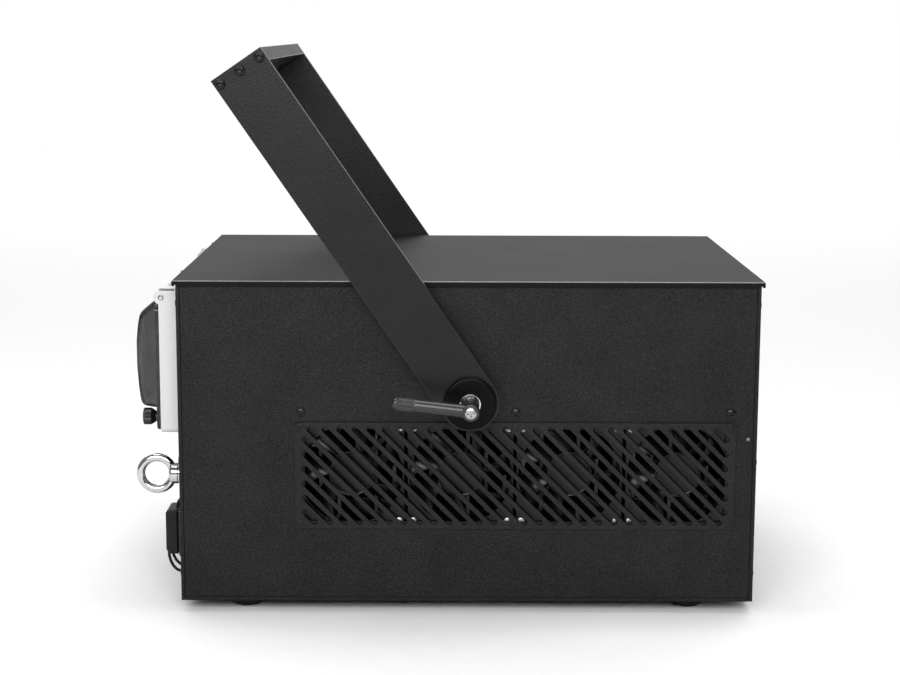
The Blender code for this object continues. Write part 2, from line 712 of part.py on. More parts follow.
def yoke(case, paint):
    """Two flat arms on the pivots, joined by the hanging bar, tilted back as one."""
    pivot = empty("yoke", (PIVOT_X, 0, PIVOT_Z), case)
    pivot.rotation_euler = (0, -YOKE_TILT, 0)
    half, steps = ARM_WIDTH / 2, 20
    angles = [math.pi * step / steps for step in range(steps + 1)]
    foot = [(-half * math.cos(angle), -half * math.sin(angle)) for angle in angles]
    outline = foot + [(half, ARM_LENGTH), (-half, ARM_LENGTH)]
    bore = circle(STUD_DIAMETER + 2 * SEAT, 20)
    for side, name in ((RIGHT, "yoke_arm_right"), (LEFT, "yoke_arm_left")):
        arm = sideways(plate(outline, ARM_SHEET, [bore]), side)
        add(name, arm, paint, pivot, (0, side * ARM_INNER, 0))
    holes = [circle(CLAMP_HOLE, 20)]
    holes += [circle(SIDE_HOLE, 16, (0, side * SIDE_HOLE_SPREAD)) for side in (RIGHT, LEFT)]
    bar = plate(rectangle(ARM_WIDTH, 2 * (ARM_INNER - SEAT)), CROSSBAR_SHEET, holes)
    add("yoke_crossbar", bar, paint, pivot, (0, 0, ARM_LENGTH - CROSSBAR_SHEET))


def pivot_bosses(case, steel):
    """Threaded bosses through the sides, which the arms swing on."""
    bore = STUD_DIAMETER / 2 + SEAT
    profile = (
        (bore, -SPIGOT_LENGTH),
        (SPIGOT_DIAMETER / 2, -SPIGOT_LENGTH),
        (SPIGOT_DIAMETER / 2, SEAT),
        (BOSS_DIAMETER / 2, SEAT),
        (BOSS_DIAMETER / 2, BOSS_LENGTH - RUN),
        (bore, BOSS_LENGTH - RUN),
    )
    for side, name in ((RIGHT, "pivot_boss_right"), (LEFT, "pivot_boss_left")):
        boss = sideways(turned(profile, 24, ring=True), side)
        add(name, boss, steel, case, (PIVOT_X, side * CASE_WIDTH / 2, PIVOT_Z))


def clamps(case, plastic, steel):
    """Round clamp discs on the arms, with a lever and its screw on each."""
    bore, radius = STUD_DIAMETER / 2 + SEAT, DISC_DIAMETER / 2
    soft = DISC_SHEET / 3
    fall = soft * (1 - math.cos(math.pi / 4))
    disc_profile = (
        (bore, SEAT),
        (radius, SEAT),
        (radius, DISC_SHEET - soft),
        (radius - fall, DISC_SHEET - fall),
        (radius - soft, DISC_SHEET),
        (bore, DISC_SHEET),
    )
    face = DISC_SHEET + SEAT
    hub, top = LEVER_HUB / 2, DISC_SHEET + LEVER_HEIGHT
    socket = LEVER_SCREW_SHANK / 2 + SEAT
    depth = LEVER_HEIGHT / 3
    stud_end = -ARM_SHEET - BOSS_LENGTH - SPIGOT_LENGTH * 0.8
    lever_profile = (
        (0, stud_end),
        (STUD_DIAMETER / 2, stud_end),
        (STUD_DIAMETER / 2, face),
        (hub, face),
        (hub, top),
        (socket, top),
        (socket, top - depth),
        (0, top - depth),
    )
    bar_end = LEVER_BAR / 6
    bar_profile = (
        (0, 0),
        (LEVER_BAR / 2, 0),
        (LEVER_BAR / 2, LEVER_LENGTH - bar_end),
        (LEVER_BAR / 2 - bar_end, LEVER_LENGTH),
        (0, LEVER_LENGTH),
    )
    screw_profile = (
        (0, top - depth * 0.9),
        (LEVER_SCREW_SHANK / 2, top - depth * 0.9),
        (LEVER_SCREW_SHANK / 2, top + SEAT),
        (LEVER_SCREW / 2, top + SEAT),
        (LEVER_SCREW / 2, top + LEVER_SCREW_HEAD * 0.6),
        (LEVER_SCREW / 3, top + LEVER_SCREW_HEAD),
        (0, top + LEVER_SCREW_HEAD),
    )
    for side, word in ((RIGHT, "right"), (LEFT, "left")):
        place = (PIVOT_X, side * ARM_OUTER, PIVOT_Z)
        disc = sideways(turned(disc_profile, 24, ring=True), side)
        add(f"clamp_disc_{word}", disc, plastic, case, place)
        bar = moved(turned(bar_profile, 16), Matrix.Rotation(-math.pi / 2, 4, "Y"))
        moved(bar, Matrix.Rotation(-LEVER_RISE, 4, "Z"))
        shifted(bar, 0, 0, top - LEVER_BAR / 2 - SEAT)
        core = rod(2 * socket, depth + RUN, 20)
        lever = cut(joined(turned(lever_profile, 20), bar), shifted(core, 0, 0, top - depth))
        add(f"clamp_lever_{word}", sideways(lever, side), plastic, case, place)
        add(f"lever_screw_{word}", sideways(turned(screw_profile, 20), side), steel, case, place)


def cover_frame(case, plastic):
    """White frame on the rear panel, with the knuckles that the window hangs from."""
    rim_x, rim_z = COVER_RIM
    outline = rounded_rectangle(COVER_WIDTH, COVER_HEIGHT, COVER_DEPTH / 4)
    opening = rounded_rectangle(COVER_WIDTH - 2 * rim_x, COVER_HEIGHT - 2 * rim_z, COVER_DEPTH / 4)
    shape = shifted(plate(outline, COVER_DEPTH - SEAT, [opening]), z=SEAT)
    high = HINGE_Z - COVER_Z
    clear = KNUCKLE_RADIUS + RUN
    groove_low, groove_back = high - clear, HINGE_OUT - clear
    groove = block(
        (COVER_WIDTH - 2 * KNUCKLE_LENGTH, COVER_HEIGHT, COVER_DEPTH),
        (0, groove_low + COVER_HEIGHT / 2, groove_back + COVER_DEPTH / 2),
    )
    shape = cut(shape, groove)
    for side in (RIGHT, LEFT):
        knuckle = rod(2 * KNUCKLE_RADIUS, KNUCKLE_LENGTH - SEAT, 20)
        moved(knuckle, Matrix.Rotation(math.pi / 2, 4, "Y"))
        start = COVER_WIDTH / 2 - KNUCKLE_LENGTH + SEAT if side == LEFT else -COVER_WIDTH / 2
        shape = joined(shape, shifted(knuckle, start, high, HINGE_OUT))
    length = COVER_WIDTH + 2 * KNUCKLE_LENGTH
    pin_bore = moved(rod(PIN_DIAMETER + 2 * RUN, length), Matrix.Rotation(math.pi / 2, 4, "Y"))
    shape = cut(shape, shifted(pin_bore, -length / 2, high, HINGE_OUT))
    for side in (RIGHT, LEFT):
        x, y = side * (COVER_WIDTH / 2 - THUMB_INSET[0]), THUMB_INSET[1] - COVER_HEIGHT / 2
        hole = shifted(rod(THUMB_SHANK + 2 * RUN, COVER_DEPTH), x, y, COVER_DEPTH / 2)
        slit_y = COVER_HEIGHT / 2 - END_SLIT_DROP - END_SLIT[1] / 2
        slit_place = (side * COVER_WIDTH / 2, slit_y, COVER_DEPTH * 3 / 4)
        slit = block((2 * END_SLIT[0], END_SLIT[1], COVER_DEPTH), slit_place)
        shape = cut(shape, hole, slit)
    add("cover_frame", moved(shape, TO_REAR), plastic, case, (-CASE_LENGTH / 2, 0, COVER_Z))


def window_loop(width, low, high, out, radius):
    """One level of the window's shell, measured from the hinge."""
    centre = (0, (low + high) / 2)
    return [(x, y, out) for x, y in rounded_rectangle(width, high - low, radius, 3, centre)]


def cover_window(case, smoked):
    """Smoked window: a flange on the frame, a hollow dome, and the barrel that turns on the pin."""
    wide = COVER_WIDTH - 2 * FLANGE_INSET
    low = COVER_BOTTOM + FLANGE_INSET / 2 - HINGE_Z
    high = -KNUCKLE_RADIUS - RUN
    back = FLANGE_OUT - HINGE_OUT
    face = back + FLANGE_SHEET
    dome_wide = BARREL_LENGTH - 2 * RUN
    dome_low = low + DOME_LIFT
    dome_high = -FLANGE_SHEET
    shoulder, crown = face + DOME_RISE, face + DOME_RISE + DOME_CROWN
    wall, soft = DOME_WALL, KNUCKLE_RADIUS
    levels = (
        (dome_wide - 1.8 * soft, dome_low + 5 * soft, dome_high - 5 * soft, crown),
        (dome_wide - 1.4 * soft, dome_low + 2 * soft, dome_high - 3 * soft, face + DOME_RISE + DOME_SWELL),
        (dome_wide - soft, dome_low + soft / 4, dome_high - 1.9 * soft, shoulder),
    )
    outside = [window_loop(*level, soft) for level in levels]
    inside = [
        window_loop(across - 2 * wall, bottom + wall, top - wall, out - wall, soft - wall)
        for across, bottom, top, out in levels
    ]
    rim = [
        window_loop(dome_wide, dome_low, dome_high, face + SEAT, soft),
        window_loop(wide, low, high, face, soft),
        window_loop(wide, low, high, back, soft),
        window_loop(dome_wide - 2 * wall, dome_low + wall, high - wall, back, soft - wall),
    ]
    shape = loft(outside + rim + inside[::-1])
    web_place = (0, (high - wall) / 2, (back + face) / 2)
    web = block((dome_wide - RUN, -high + wall, FLANGE_SHEET + SEAT / 2), web_place)
    bore, length = PIN_DIAMETER / 2 + RUN, BARREL_LENGTH
    barrel = turned(
        ((bore, 0), (BARREL_RADIUS, 0), (BARREL_RADIUS, length), (bore, length)),
        20,
        ring=True,
    )
    moved(barrel, Matrix.Rotation(math.pi / 2, 4, "Y"))
    core = moved(rod(2 * bore, length + 2 * RUN, 20), Matrix.Rotation(math.pi / 2, 4, "Y"))
    shape = joined(shape, web, shifted(barrel, -length / 2))
    shape = cut(shape, shifted(core, -length / 2 - RUN))
    for side in (RIGHT, LEFT):
        x = side * (COVER_WIDTH / 2 - THUMB_INSET[0])
        y = COVER_BOTTOM + THUMB_INSET[1] - HINGE_Z
        shape = cut(shape, shifted(rod(THUMB_SHANK + 2 * RUN, 4 * FLANGE_SHEET), x, y, back - FLANGE_SHEET))
    add("cover_window", moved(shape, TO_REAR), smoked, case, (-CASE_LENGTH / 2 - HINGE_OUT, 0, HINGE_Z))


def cover_hardware(case, steel, plastic):
    """Hinge pin through the knuckles, and the thumb screws that hold the window shut."""
    pin = moved(rod(PIN_DIAMETER, COVER_WIDTH, 12), Matrix.Rotation(math.pi / 2, 4, "X"))
    shifted(pin, 0, COVER_WIDTH / 2)
    add("cover_hinge_pin", pin, steel, case, (-CASE_LENGTH / 2 - HINGE_OUT, 0, HINGE_Z))
    neck = FLANGE_SHEET + THUMB_NECK
    grip = neck + THUMB_CONE
    end = grip + THUMB_GRIP
    soft = THUMB_GRIP / 6
    head = THUMB_DIAMETER / 2
    profile = (
        (0, -COVER_DEPTH / 3),
        (THUMB_SHANK / 2, -COVER_DEPTH / 3),
        (THUMB_SHANK / 2, FLANGE_SHEET + SEAT),
        (THUMB_COLLAR / 2, FLANGE_SHEET + SEAT),
        (THUMB_COLLAR / 2, neck),
        (head, grip),
        (head, end - soft),
        (head - soft, end),
        (0, end),
    )
    for side, word in ((RIGHT, "right"), (LEFT, "left")):
        y = side * (COVER_WIDTH / 2 - THUMB_INSET[0])
        z = COVER_BOTTOM + THUMB_INSET[1]
        thumb = moved(turned(profile, 20), TO_REAR)
        add(f"cover_thumb_screw_{word}", thumb, plastic, case, (-CASE_LENGTH / 2 - FLANGE_OUT, y, z))


def controls(case, paint, plastic, steel):
    """Control plate behind the window, with its knob, key and power rocker."""
    gap = 2 * CONTROL_SHEET
    width, height = COVER_WIDTH - 2 * COVER_RIM[0] - gap, COVER_HEIGHT - 2 * COVER_RIM[1] - gap
    shaft = KNOB_DIAMETER / 3
    rocker_hole = rectangle(ROCKER_SIZE[0] + 2 * SEAT, ROCKER_SIZE[1] + 2 * ROCKER_RIM / 3, (ROCKER_X, 0))
    knob_hole = circle(shaft + 2 * RUN, 16, (KNOB_X, 0))
    key_hole = circle(KEY_PLUG + 2 * RUN, 16, (LOCK_X, 0))
    holes = [knob_hole, key_hole, rocker_hole]
    sheet = plate(rounded_rectangle(width, height, gap), CONTROL_SHEET, holes)
    display = block(DISPLAY_SIZE, (DISPLAY_X, 0, DISPLAY_SIZE[2] / 2 + CONTROL_SHEET / 2))
    bore = KEY_PLUG / 2 + RUN
    low, high = CONTROL_SHEET / 2, CONTROL_SHEET + LOCK_LENGTH
    barrel = LOCK_DIAMETER / 2
    lock = turned(((bore, low), (barrel, low), (barrel, high), (bore, high)), 20, ring=True)
    rim_outer = rectangle(ROCKER_SIZE[0] + 2 * ROCKER_RIM, ROCKER_SIZE[1] + 2 * ROCKER_RIM, (ROCKER_X, 0))
    rim = shifted(plate(rim_outer, CONTROL_SHEET + ROCKER_RIM - low, [rocker_hole]), z=low)
    shape = joined(sheet, display, shifted(lock, LOCK_X), rim)
    core = shifted(rod(2 * bore, high + gap, 16), LOCK_X, 0, -CONTROL_SHEET)
    face = -CASE_LENGTH / 2 - SEAT
    add("control_plate", moved(cut(shape, core), TO_REAR), paint, case, (face, 0, COVER_Z))
    knob_low = CONTROL_SHEET + RUN
    soft = KNOB_DIAMETER / 16
    knob = turned(
        (
            (0, SEAT),
            (shaft / 2, SEAT),
            (shaft / 2, knob_low),
            (KNOB_DIAMETER / 2, knob_low),
            (KNOB_DIAMETER / 2 - soft, knob_low + KNOB_LENGTH - soft),
            (KNOB_DIAMETER / 2 - 2 * soft, knob_low + KNOB_LENGTH),
            (0, knob_low + KNOB_LENGTH),
        ),
        20,
    )
    add("menu_knob", moved(knob, TO_REAR), plastic, case, (face, -KNOB_X, COVER_Z))
    bow_low = high + RUN + KEY_BOW / 2
    bow = plate(round_ended((0, bow_low), (0, bow_low + KEY_BOW / 4), KEY_BOW, 6), CONTROL_SHEET)
    moved(bow, Matrix.Rotation(math.pi / 2, 4, "X"))
    shifted(bow, 0, CONTROL_SHEET / 2)
    stem = block((KEY_PLUG * 0.8, CONTROL_SHEET * 0.9, LOCK_LENGTH), (0, 0, high))
    key = joined(rod(KEY_PLUG, high - RUN), stem, bow)
    shifted(key, z=SEAT)
    add("key", moved(key, TO_REAR), steel, case, (face, -LOCK_X, COVER_Z))
    rocker = block(ROCKER_SIZE, (0, 0, 0))
    rocker_out = CONTROL_SHEET + ROCKER_RIM
    add("power_rocker", moved(rocker, TO_REAR), plastic, case, (face - rocker_out, -ROCKER_X, COVER_Z))


def sockets(case, plastic, rubber):
    """Panel sockets at the foot of the rear panel, each shut by a rubber cap on two tethers."""
    wide, tall, thick = SOCKET_FLANGE
    bore, barrel = SOCKET_BORE / 2, SOCKET_BARREL / 2
    floor = thick - SOCKET_DEPTH
    inner = floor - PLATE
    body_profile = [(0, inner), (barrel, inner), (barrel, thick / 2)]
    body_profile += [(bore, thick / 2), (bore, floor), (0, floor)]
    for side, word in ((RIGHT, "power"), (LEFT, "signal")):
        flange = plate(rounded_rectangle(wide, tall, thick), thick - SEAT, [circle(SOCKET_BORE, 20)])
        shape = joined(shifted(flange, z=SEAT), turned(body_profile, 20))
        place = (-CASE_LENGTH / 2, side * SOCKET_Y, SOCKET_Z)
        add(f"{word}_socket", moved(shape, TO_REAR), plastic, case, place)
        root = (-CASE_LENGTH / 2 - TETHER_SHEET, side * SOCKET_Y, tether_root())
        add(f"{word}_cap", socket_cap(), rubber, case, root)


def tether_root():
    return SOCKET_Z - CAP_HEIGHT / 2 - TETHER_DROP + TETHER_SHEET / 2


def socket_cap():
    """Cap with a pull tab above and two tethers that curl back to the panel, about the tethers' root."""
    near, far = CAP_FACE - TETHER_SHEET, CAP_FACE + CAP_DEPTH - TETHER_SHEET
    low = TETHER_DROP - TETHER_SHEET / 2
    high = low + CAP_HEIGHT
    side_view = [
        (near, low),
        (far - CAP_CHAMFER, low),
        (far, low + CAP_CHAMFER),
        (far, high - CAP_CHAMFER),
        (far - CAP_CHAMFER, high),
        (near, high),
    ]
    shape = shifted(plate(side_view, CAP_WIDTH), z=-CAP_WIDTH / 2)
    tab_view = [(near, high - CAP_CHAMFER), (near + CAP_CHAMFER, high - CAP_CHAMFER)]
    tab_view += [(near + CAP_CHAMFER / 2, high + TAB_HEIGHT), (near, high + TAB_HEIGHT)]
    shape = joined(shape, shifted(plate(tab_view, CAP_WIDTH / 3), z=-CAP_WIDTH / 6))
    steps = 6
    outer = (far - SEAT, low + TETHER_SHEET / 2)
    inner = (outer[0] - TETHER_SHEET, outer[1] - TETHER_SHEET)
    top = low + TETHER_SHEET / 2
    curl = [(outer[0], low + 1.5 * CAP_CHAMFER)]
    for reach, direction in ((outer, range(steps + 1)), (inner, reversed(range(steps + 1)))):
        for step in direction:
            angle = math.pi / 2 * step / steps
            curl.append((reach[0] * math.cos(angle), top - reach[1] * math.sin(angle) - TETHER_SHEET / 2))
    curl.append((inner[0], low + 1.5 * CAP_CHAMFER))
    for side in (RIGHT, LEFT):
        middle = side * TETHER_SPREAD - TETHER_WIDTH / 2
        shape = joined(shape, shifted(plate(curl, TETHER_WIDTH), z=middle))
    upright = Matrix(((-1, 0, 0, 0), (0, 0, 1, 0), (0, 1, 0, 0), (0, 0, 0, 1)))
    return moved(shape, upright)


def eye_bolt(case, steel):
    """Safety eye: a ring on a collar, screwed through the rear panel."""
    radius = (EYE_RING - EYE_WIRE) / 2
    steps = 20
    loops = []
    for step in range(steps):
        angle = 2 * math.pi * step / steps
        section = circle(EYE_WIRE, 8)
        across, up = math.cos(angle), math.sin(angle)
        loops.append([((radius + x) * across, y, (radius + x) * up) for x, y in section])
    ring = shifted(loft(loops, ring=True), z=EYE_STANDOFF + EYE_RING / 2)
    soft = EYE_WIRE / 8
    stem = turned(
        (
            (0, -2 * EYE_SHANK),
            (EYE_SHANK / 2, -2 * EYE_SHANK),
            (EYE_SHANK / 2, SEAT),
            (EYE_COLLAR / 2, SEAT),
            (EYE_COLLAR / 2, EYE_COLLAR_LENGTH - soft),
            (EYE_COLLAR / 2 - soft, EYE_COLLAR_LENGTH),
            (0, EYE_COLLAR_LENGTH),
        ),
        20,
    )
    shape = joined(stem, moved(ring, Matrix.Rotation(math.pi / 2, 4, "Z")))
    add("eye_bolt", moved(shape, TO_REAR), steel, case, (-CASE_LENGTH / 2, -EYE_Y, EYE_Z))


def build():
    clear_scene()
    paint = finish("black_paint", (0.035, 0.035, 0.037), 0.55)
    plain_paint = finish("yoke_paint", (0.06, 0.06, 0.062), 0.45)
    dark_plastic = finish("black_plastic", (0.02, 0.02, 0.021), 0.35)
    white_plastic = finish("white_plastic", (0.75, 0.75, 0.74), 0.4)
    smoked = finish("smoked_plastic", (0.05, 0.05, 0.052), 0.12)
    rubber = finish("black_rubber", (0.018, 0.018, 0.018), 0.8)
    steel = finish("bright_steel", (0.62, 0.62, 0.63), 0.25, 1.0)
    aluminium = finish("bare_aluminium", (0.7, 0.7, 0.72), 0.4, 1.0)
    glass = finish("clear_glass", (0.8, 0.85, 0.85), 0.05)
    board_green = finish("board_green", (0.02, 0.16, 0.06), 0.5)
    case = empty("case", (CASE_X, 0, FOOT_HEIGHT))
    case_plates(case, paint)
    side_panels(case, paint)
    lid(case, paint)
    inner_frames(case, steel)
    feet(case, rubber)
    grilles(case, paint)
    fans(case, dark_plastic)
    bench(case, aluminium)
    lasers(case, aluminium)
    mirror_tray(case, aluminium)
    scanner(case, aluminium, glass)
    front_window(case, glass, paint)
    electronics(case, steel, board_green)
    yoke(case, plain_paint)
    pivot_bosses(case, steel)
    clamps(case, dark_plastic, steel)
    cover_frame(case, white_plastic)
    cover_window(case, smoked)
    cover_hardware(case, steel, dark_plastic)
    controls(case, paint, dark_plastic, steel)
    sockets(case, dark_plastic, rubber)
    eye_bolt(case, steel)


build()
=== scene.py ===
"""Looks of the stage laser projector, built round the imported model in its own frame."""

import math

import bmesh
import bpy
from mathutils import Matrix, Vector


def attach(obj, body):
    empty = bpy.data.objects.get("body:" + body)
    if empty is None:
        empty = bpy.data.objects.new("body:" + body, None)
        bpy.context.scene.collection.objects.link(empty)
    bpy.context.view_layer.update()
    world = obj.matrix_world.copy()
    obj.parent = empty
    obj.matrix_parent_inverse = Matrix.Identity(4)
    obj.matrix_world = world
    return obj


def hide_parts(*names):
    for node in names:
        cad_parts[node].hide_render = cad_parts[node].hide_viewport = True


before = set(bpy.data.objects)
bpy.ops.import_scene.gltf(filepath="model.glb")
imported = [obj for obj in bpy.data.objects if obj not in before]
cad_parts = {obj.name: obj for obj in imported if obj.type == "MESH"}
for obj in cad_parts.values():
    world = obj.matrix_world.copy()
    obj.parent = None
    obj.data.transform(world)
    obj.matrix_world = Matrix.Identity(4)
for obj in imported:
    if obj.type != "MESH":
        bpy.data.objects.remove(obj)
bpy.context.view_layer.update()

# The case's own origin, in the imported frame
CASE = Matrix.Translation((0.0191, 0, 0.010))
TO_RIGHT = Matrix.Rotation(math.pi / 2, 4, "X")
TO_LEFT = Matrix.Diagonal((1, -1, 1, 1)) @ TO_RIGHT
TO_FRONT = Matrix(((0, 0, 1, 0), (1, 0, 0, 0), (0, 1, 0, 0), (0, 0, 0, 1)))
TO_REAR = Matrix(((0, 0, -1, 0), (-1, 0, 0, 0), (0, 1, 0, 0), (0, 0, 0, 1)))
DOWN = Matrix.Rotation(math.pi, 4, "X")
SIDES = (("right", -1, TO_RIGHT), ("left", 1, TO_LEFT))

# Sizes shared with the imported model, in metres
SEAT, RUN = 0.0003, 0.0005
CASE_LENGTH, CASE_WIDTH, CASE_HEIGHT = 0.500, 0.352, 0.283
HALF_LENGTH, HALF_WIDTH = CASE_LENGTH / 2, CASE_WIDTH / 2
PLATE = 0.0032
LID_SHEET, LID_OVERHANG, LID_LIP = 0.0020, 0.0030, 0.0050
INNER_X = HALF_LENGTH - PLATE - SEAT
INNER_Y = HALF_WIDTH - PLATE - SEAT
PANEL_TOP = CASE_HEIGHT - LID_SHEET - SEAT
FAN_SIZE, FAN_DEPTH, FAN_PITCH, FAN_WALL = 0.092, 0.025, 0.0945, 0.002
FAN_HUB, FAN_HOLES = 0.040, 0.0825
FAN_X, FAN_Z = 0.041, 0.1127
GRILLE_SIZE = (0.3815, 0.0945)
GRILLE_SHEET = 0.0020
SLOT_COUNT, SLOT_PITCH, SLOT_WIDTH = 34, 0.0130, 0.0050
SLOT_MARGIN_X, SLOT_MARGIN_Z = 0.0088, 0.0062
SCREW_MARGIN, SCREW_CLEAR, SCREW_SINK = 0.0047, 0.0078, 0.0060
SIDE_OPENING = (GRILLE_SIZE[0] - 2 * SLOT_MARGIN_X, GRILLE_SIZE[1] - 2 * SLOT_MARGIN_Z)
SIDE_HOLE, SIDE_HOLE_PLACE = 0.0036, (0.2425, 0.1452)
BENCH_Z = 0.1685
PIVOT_X, PIVOT_Z, PIVOT_BORE = 0.0016, 0.181, 0.0206
ARM_LENGTH, ARM_WIDTH, ARM_SHEET, ARM_GAP = 0.345, 0.050, 0.006, 0.013
ARM_INNER = HALF_WIDTH + ARM_GAP
ARM_OUTER = ARM_INNER + ARM_SHEET
CROSSBAR_SHEET, CLAMP_HOLE = 0.0125, 0.013
BAR_HOLE, BAR_HOLE_Y = 0.011, 0.060
YOKE_TILT = 34.5
BAR_SCREW_PITCH = 0.0199
DISC_SHEET, DISC_RADIUS = 0.006, 0.0225
BOSS_RADIUS, SPIGOT_RADIUS, SPIGOT_BORE = 0.020, 0.010, 0.0053
LEVER_HEIGHT, LEVER_LENGTH, LEVER_BAR = 0.0385, 0.066, 0.0112
LEVER_RISE = 6.5
LEVER_HUB, LEVER_RECESS = 0.00725, 0.0023
COVER_WIDTH, COVER_HEIGHT, COVER_DEPTH = 0.300, 0.129, 0.0189
COVER_Z, COVER_CORNER = 0.2085, 0.0047
COVER_SIDES, COVER_ENDS = 0.036, 0.046
HINGE_Z, HINGE_OUT = 0.264, 0.0165
HINGE_EAR, HINGE_EAR_LENGTH, HINGE_BORE = 0.0065, 0.0117, 0.0025
THUMB_Y, THUMB_Z, THUMB_HOLE = 0.128, 0.1547, 0.0035
SCREEN_Y, KNOB_Y, KEY_Y, ROCKER_Y = -0.054, 0.018, 0.05625, 0.0945
EYE_Y, EYE_Z, EYE_BORE = 0.150, 0.1081, 0.0086
SOCKET_Y, SOCKET_Z, SOCKET_BORE, SOCKET_MOUTH = 0.140, 0.0555, 0.0246, 0.019
CAP_HEIGHT, CAP_DEPTH, TETHER = 0.0397, 0.0026, 0.0013
FOOT_HEIGHT, FOOT_INSET_X, FOOT_INSET_Y = 0.010, 0.055, 0.0295
WINDOW_Z = 0.2138
OUTPUT_OPENING, OUTPUT_PANE = (0.088, 0.068), (0.0874, 0.0674)
BEZEL_SIZE, BEZEL_VIEW = (0.104, 0.084), (0.080, 0.060)

# Screw heads: diameter, height, drive, domed share and depth of the drive
GRILLE_HEAD = (0.0057, 0.0011, "cross", 0.25, 0.0010)
FAN_HEAD = (0.0068, 0.0018, "cross", 0.5, 0.0013)
ARM_HEAD = (0.0084, 0.0026, "hexagon", 0.6, 0.0022)
LEVER_HEAD = (0.0100, 0.0021, "cross", 0.7, 0.0016)
FOOT_HEAD = (0.0090, 0.0022, "cross", 0.6, 0.0016)
BENCH_HEAD = (0.0080, 0.0022, "hexagon", 0.7, 0.0016)
BASE_HEAD = (0.0070, 0.0028, "cross", 0.6, 0.0016)
PANEL_HEAD = (0.0070, 0.0016, "cross", 0.5, 0.0012)
LIP_HEAD = (0.0046, 0.0016, "cross", 0.6, 0.0010)
BEZEL_HEAD = (0.0055, 0.0012, "hexagon", 0.5, 0.0010)

# The camera, solved from the case's corners in the photo
LENS, SENSOR = 74.292, 36
CAMERA_PLACE = (-0.0002, -1.7438, 0.5045)
CAMERA_HEADING, CAMERA_PITCH, CAMERA_ROLL = -0.132, 80.57, 0.201


def circle(diameter, steps=48, centre=(0, 0)):
    radius = diameter / 2
    angles = [2 * math.pi / steps * number for number in range(steps)]
    return [(centre[0] + radius * math.cos(angle), centre[1] + radius * math.sin(angle)) for angle in angles]


def rounded(width, height, radius, steps=6, centre=(0, 0)):
    """A rectangle with round corners."""
    points = []
    for corner, (side_x, side_y) in enumerate(((1, 1), (-1, 1), (-1, -1), (1, -1))):
        middle_x = centre[0] + side_x * (width / 2 - radius)
        middle_y = centre[1] + side_y * (height / 2 - radius)
        for step in range(steps + 1):
            angle = math.pi / 2 * (corner + step / steps)
            points.append((middle_x + radius * math.cos(angle), middle_y + radius * math.sin(angle)))
    return points


def round_ended(start, end, width, steps=8):
    heading = math.atan2(end[1] - start[1], end[0] - start[0])
    points = []
    for centre, first in ((end, heading - math.pi / 2), (start, heading + math.pi / 2)):
        for step in range(steps + 1):
            angle = first + math.pi * step / steps
            points.append((centre[0] + width / 2 * math.cos(angle), centre[1] + width / 2 * math.sin(angle)))
    return points


def eased(points, radius, steps=4, closed=False):
    """A line of points with its corners rounded. A point's third number is its own radius."""
    result = []
    count = len(points)
    for index, point in enumerate(points):
        here = Vector(point[:2])
        soft = point[2] if len(point) > 2 else radius
        if soft == 0 or not closed and index in (0, count - 1):
            result.append(tuple(here))
            continue
        before = Vector(points[index - 1][:2]) - here
        after = Vector(points[(index + 1) % count][:2]) - here
        reach = min(soft, before.length * 0.48, after.length * 0.48)
        first = here + before.normalized() * reach
        last = here + after.normalized() * reach
        for step in range(steps + 1):
            t = step / steps
            result.append(tuple(first * (1 - t) ** 2 + here * 2 * t * (1 - t) + last * t ** 2))
    return result


def tidied(shape):
    bmesh.ops.remove_doubles(shape, verts=shape.verts[:], dist=1e-6)
    bmesh.ops.dissolve_degenerate(shape, dist=1e-7, edges=shape.edges[:])
    bmesh.ops.recalc_face_normals(shape, faces=shape.faces[:])
    return shape


def prism(outline, depth, edge=0.0004, holes=(), rounds=2):
    """A sheet with holes that rises from Z = 0, with all its edges rounded."""
    curve = bpy.data.curves.new("outline", "CURVE")
    curve.dimensions = "2D"
    curve.fill_mode = "BOTH"
    curve.extrude = depth / 2 - edge
    curve.bevel_depth = edge
    curve.bevel_resolution = rounds
    curve.offset = -edge
    for loop in (outline, *holes):
        spline = curve.splines.new("POLY")
        spline.points.add(len(loop) - 1)
        spline.use_cyclic_u = True
        for point, (x, y) in zip(spline.points, loop):
            point.co = (x, y, 0, 1)
    holder = bpy.data.objects.new("outline", curve)
    mesh = bpy.data.meshes.new_from_object(holder)
    shape = bmesh.new()
    shape.from_mesh(mesh)
    bpy.data.objects.remove(holder)
    bpy.data.curves.remove(curve)
    bpy.data.meshes.remove(mesh)
    tidied(shape)
    # Rounded edge faces take material index 1, where a lighter material can paint a highlight
    for face in shape.faces:
        face.material_index = 1 if 0.05 < abs(face.normal.z) < 0.995 else 0
    return moved(shape, Matrix.Translation((0, 0, depth / 2)))


def loft(loops, ring=False):
    """Faces between loops that match point for point. A loop of one point is a pole."""
    shape = bmesh.new()
    rows = [[shape.verts.new(point) for point in loop] for loop in loops]
    pairs = list(zip(rows, rows[1:]))
    if ring:
        pairs.append((rows[-1], rows[0]))
    for lower, upper in pairs:
        count = max(len(lower), len(upper))
        for step in range(count):
            after = (step + 1) % count
            quad = (
                lower[step % len(lower)],
                lower[after % len(lower)],
                upper[after % len(upper)],
                upper[step % len(upper)],
            )
            shape.faces.new(dict.fromkeys(quad))
    if not ring:
        for row in (rows[0], rows[-1]):
            if len(row) > 2:
                shape.faces.new(row)
    bmesh.ops.recalc_face_normals(shape, faces=shape.faces[:])
    return shape


def turned(profile, steps=48, ring=False):
    """A body turned about Z from (radius, height) points."""
    loops = []
    for radius, height in profile:
        if radius < 1e-7:
            loops.append([(0, 0, height)])
        else:
            loops.append([(x, y, height) for x, y in circle(2 * radius, steps)])
    return loft(loops, ring)


def peg(radius, length, steps, soft=0):
    """A pin about Z, its ends softened where soft is given."""
    profile = [(0, 0), (radius, 0), (radius, length), (0, length)]
    return turned(eased(profile, soft) if soft else profile, steps)


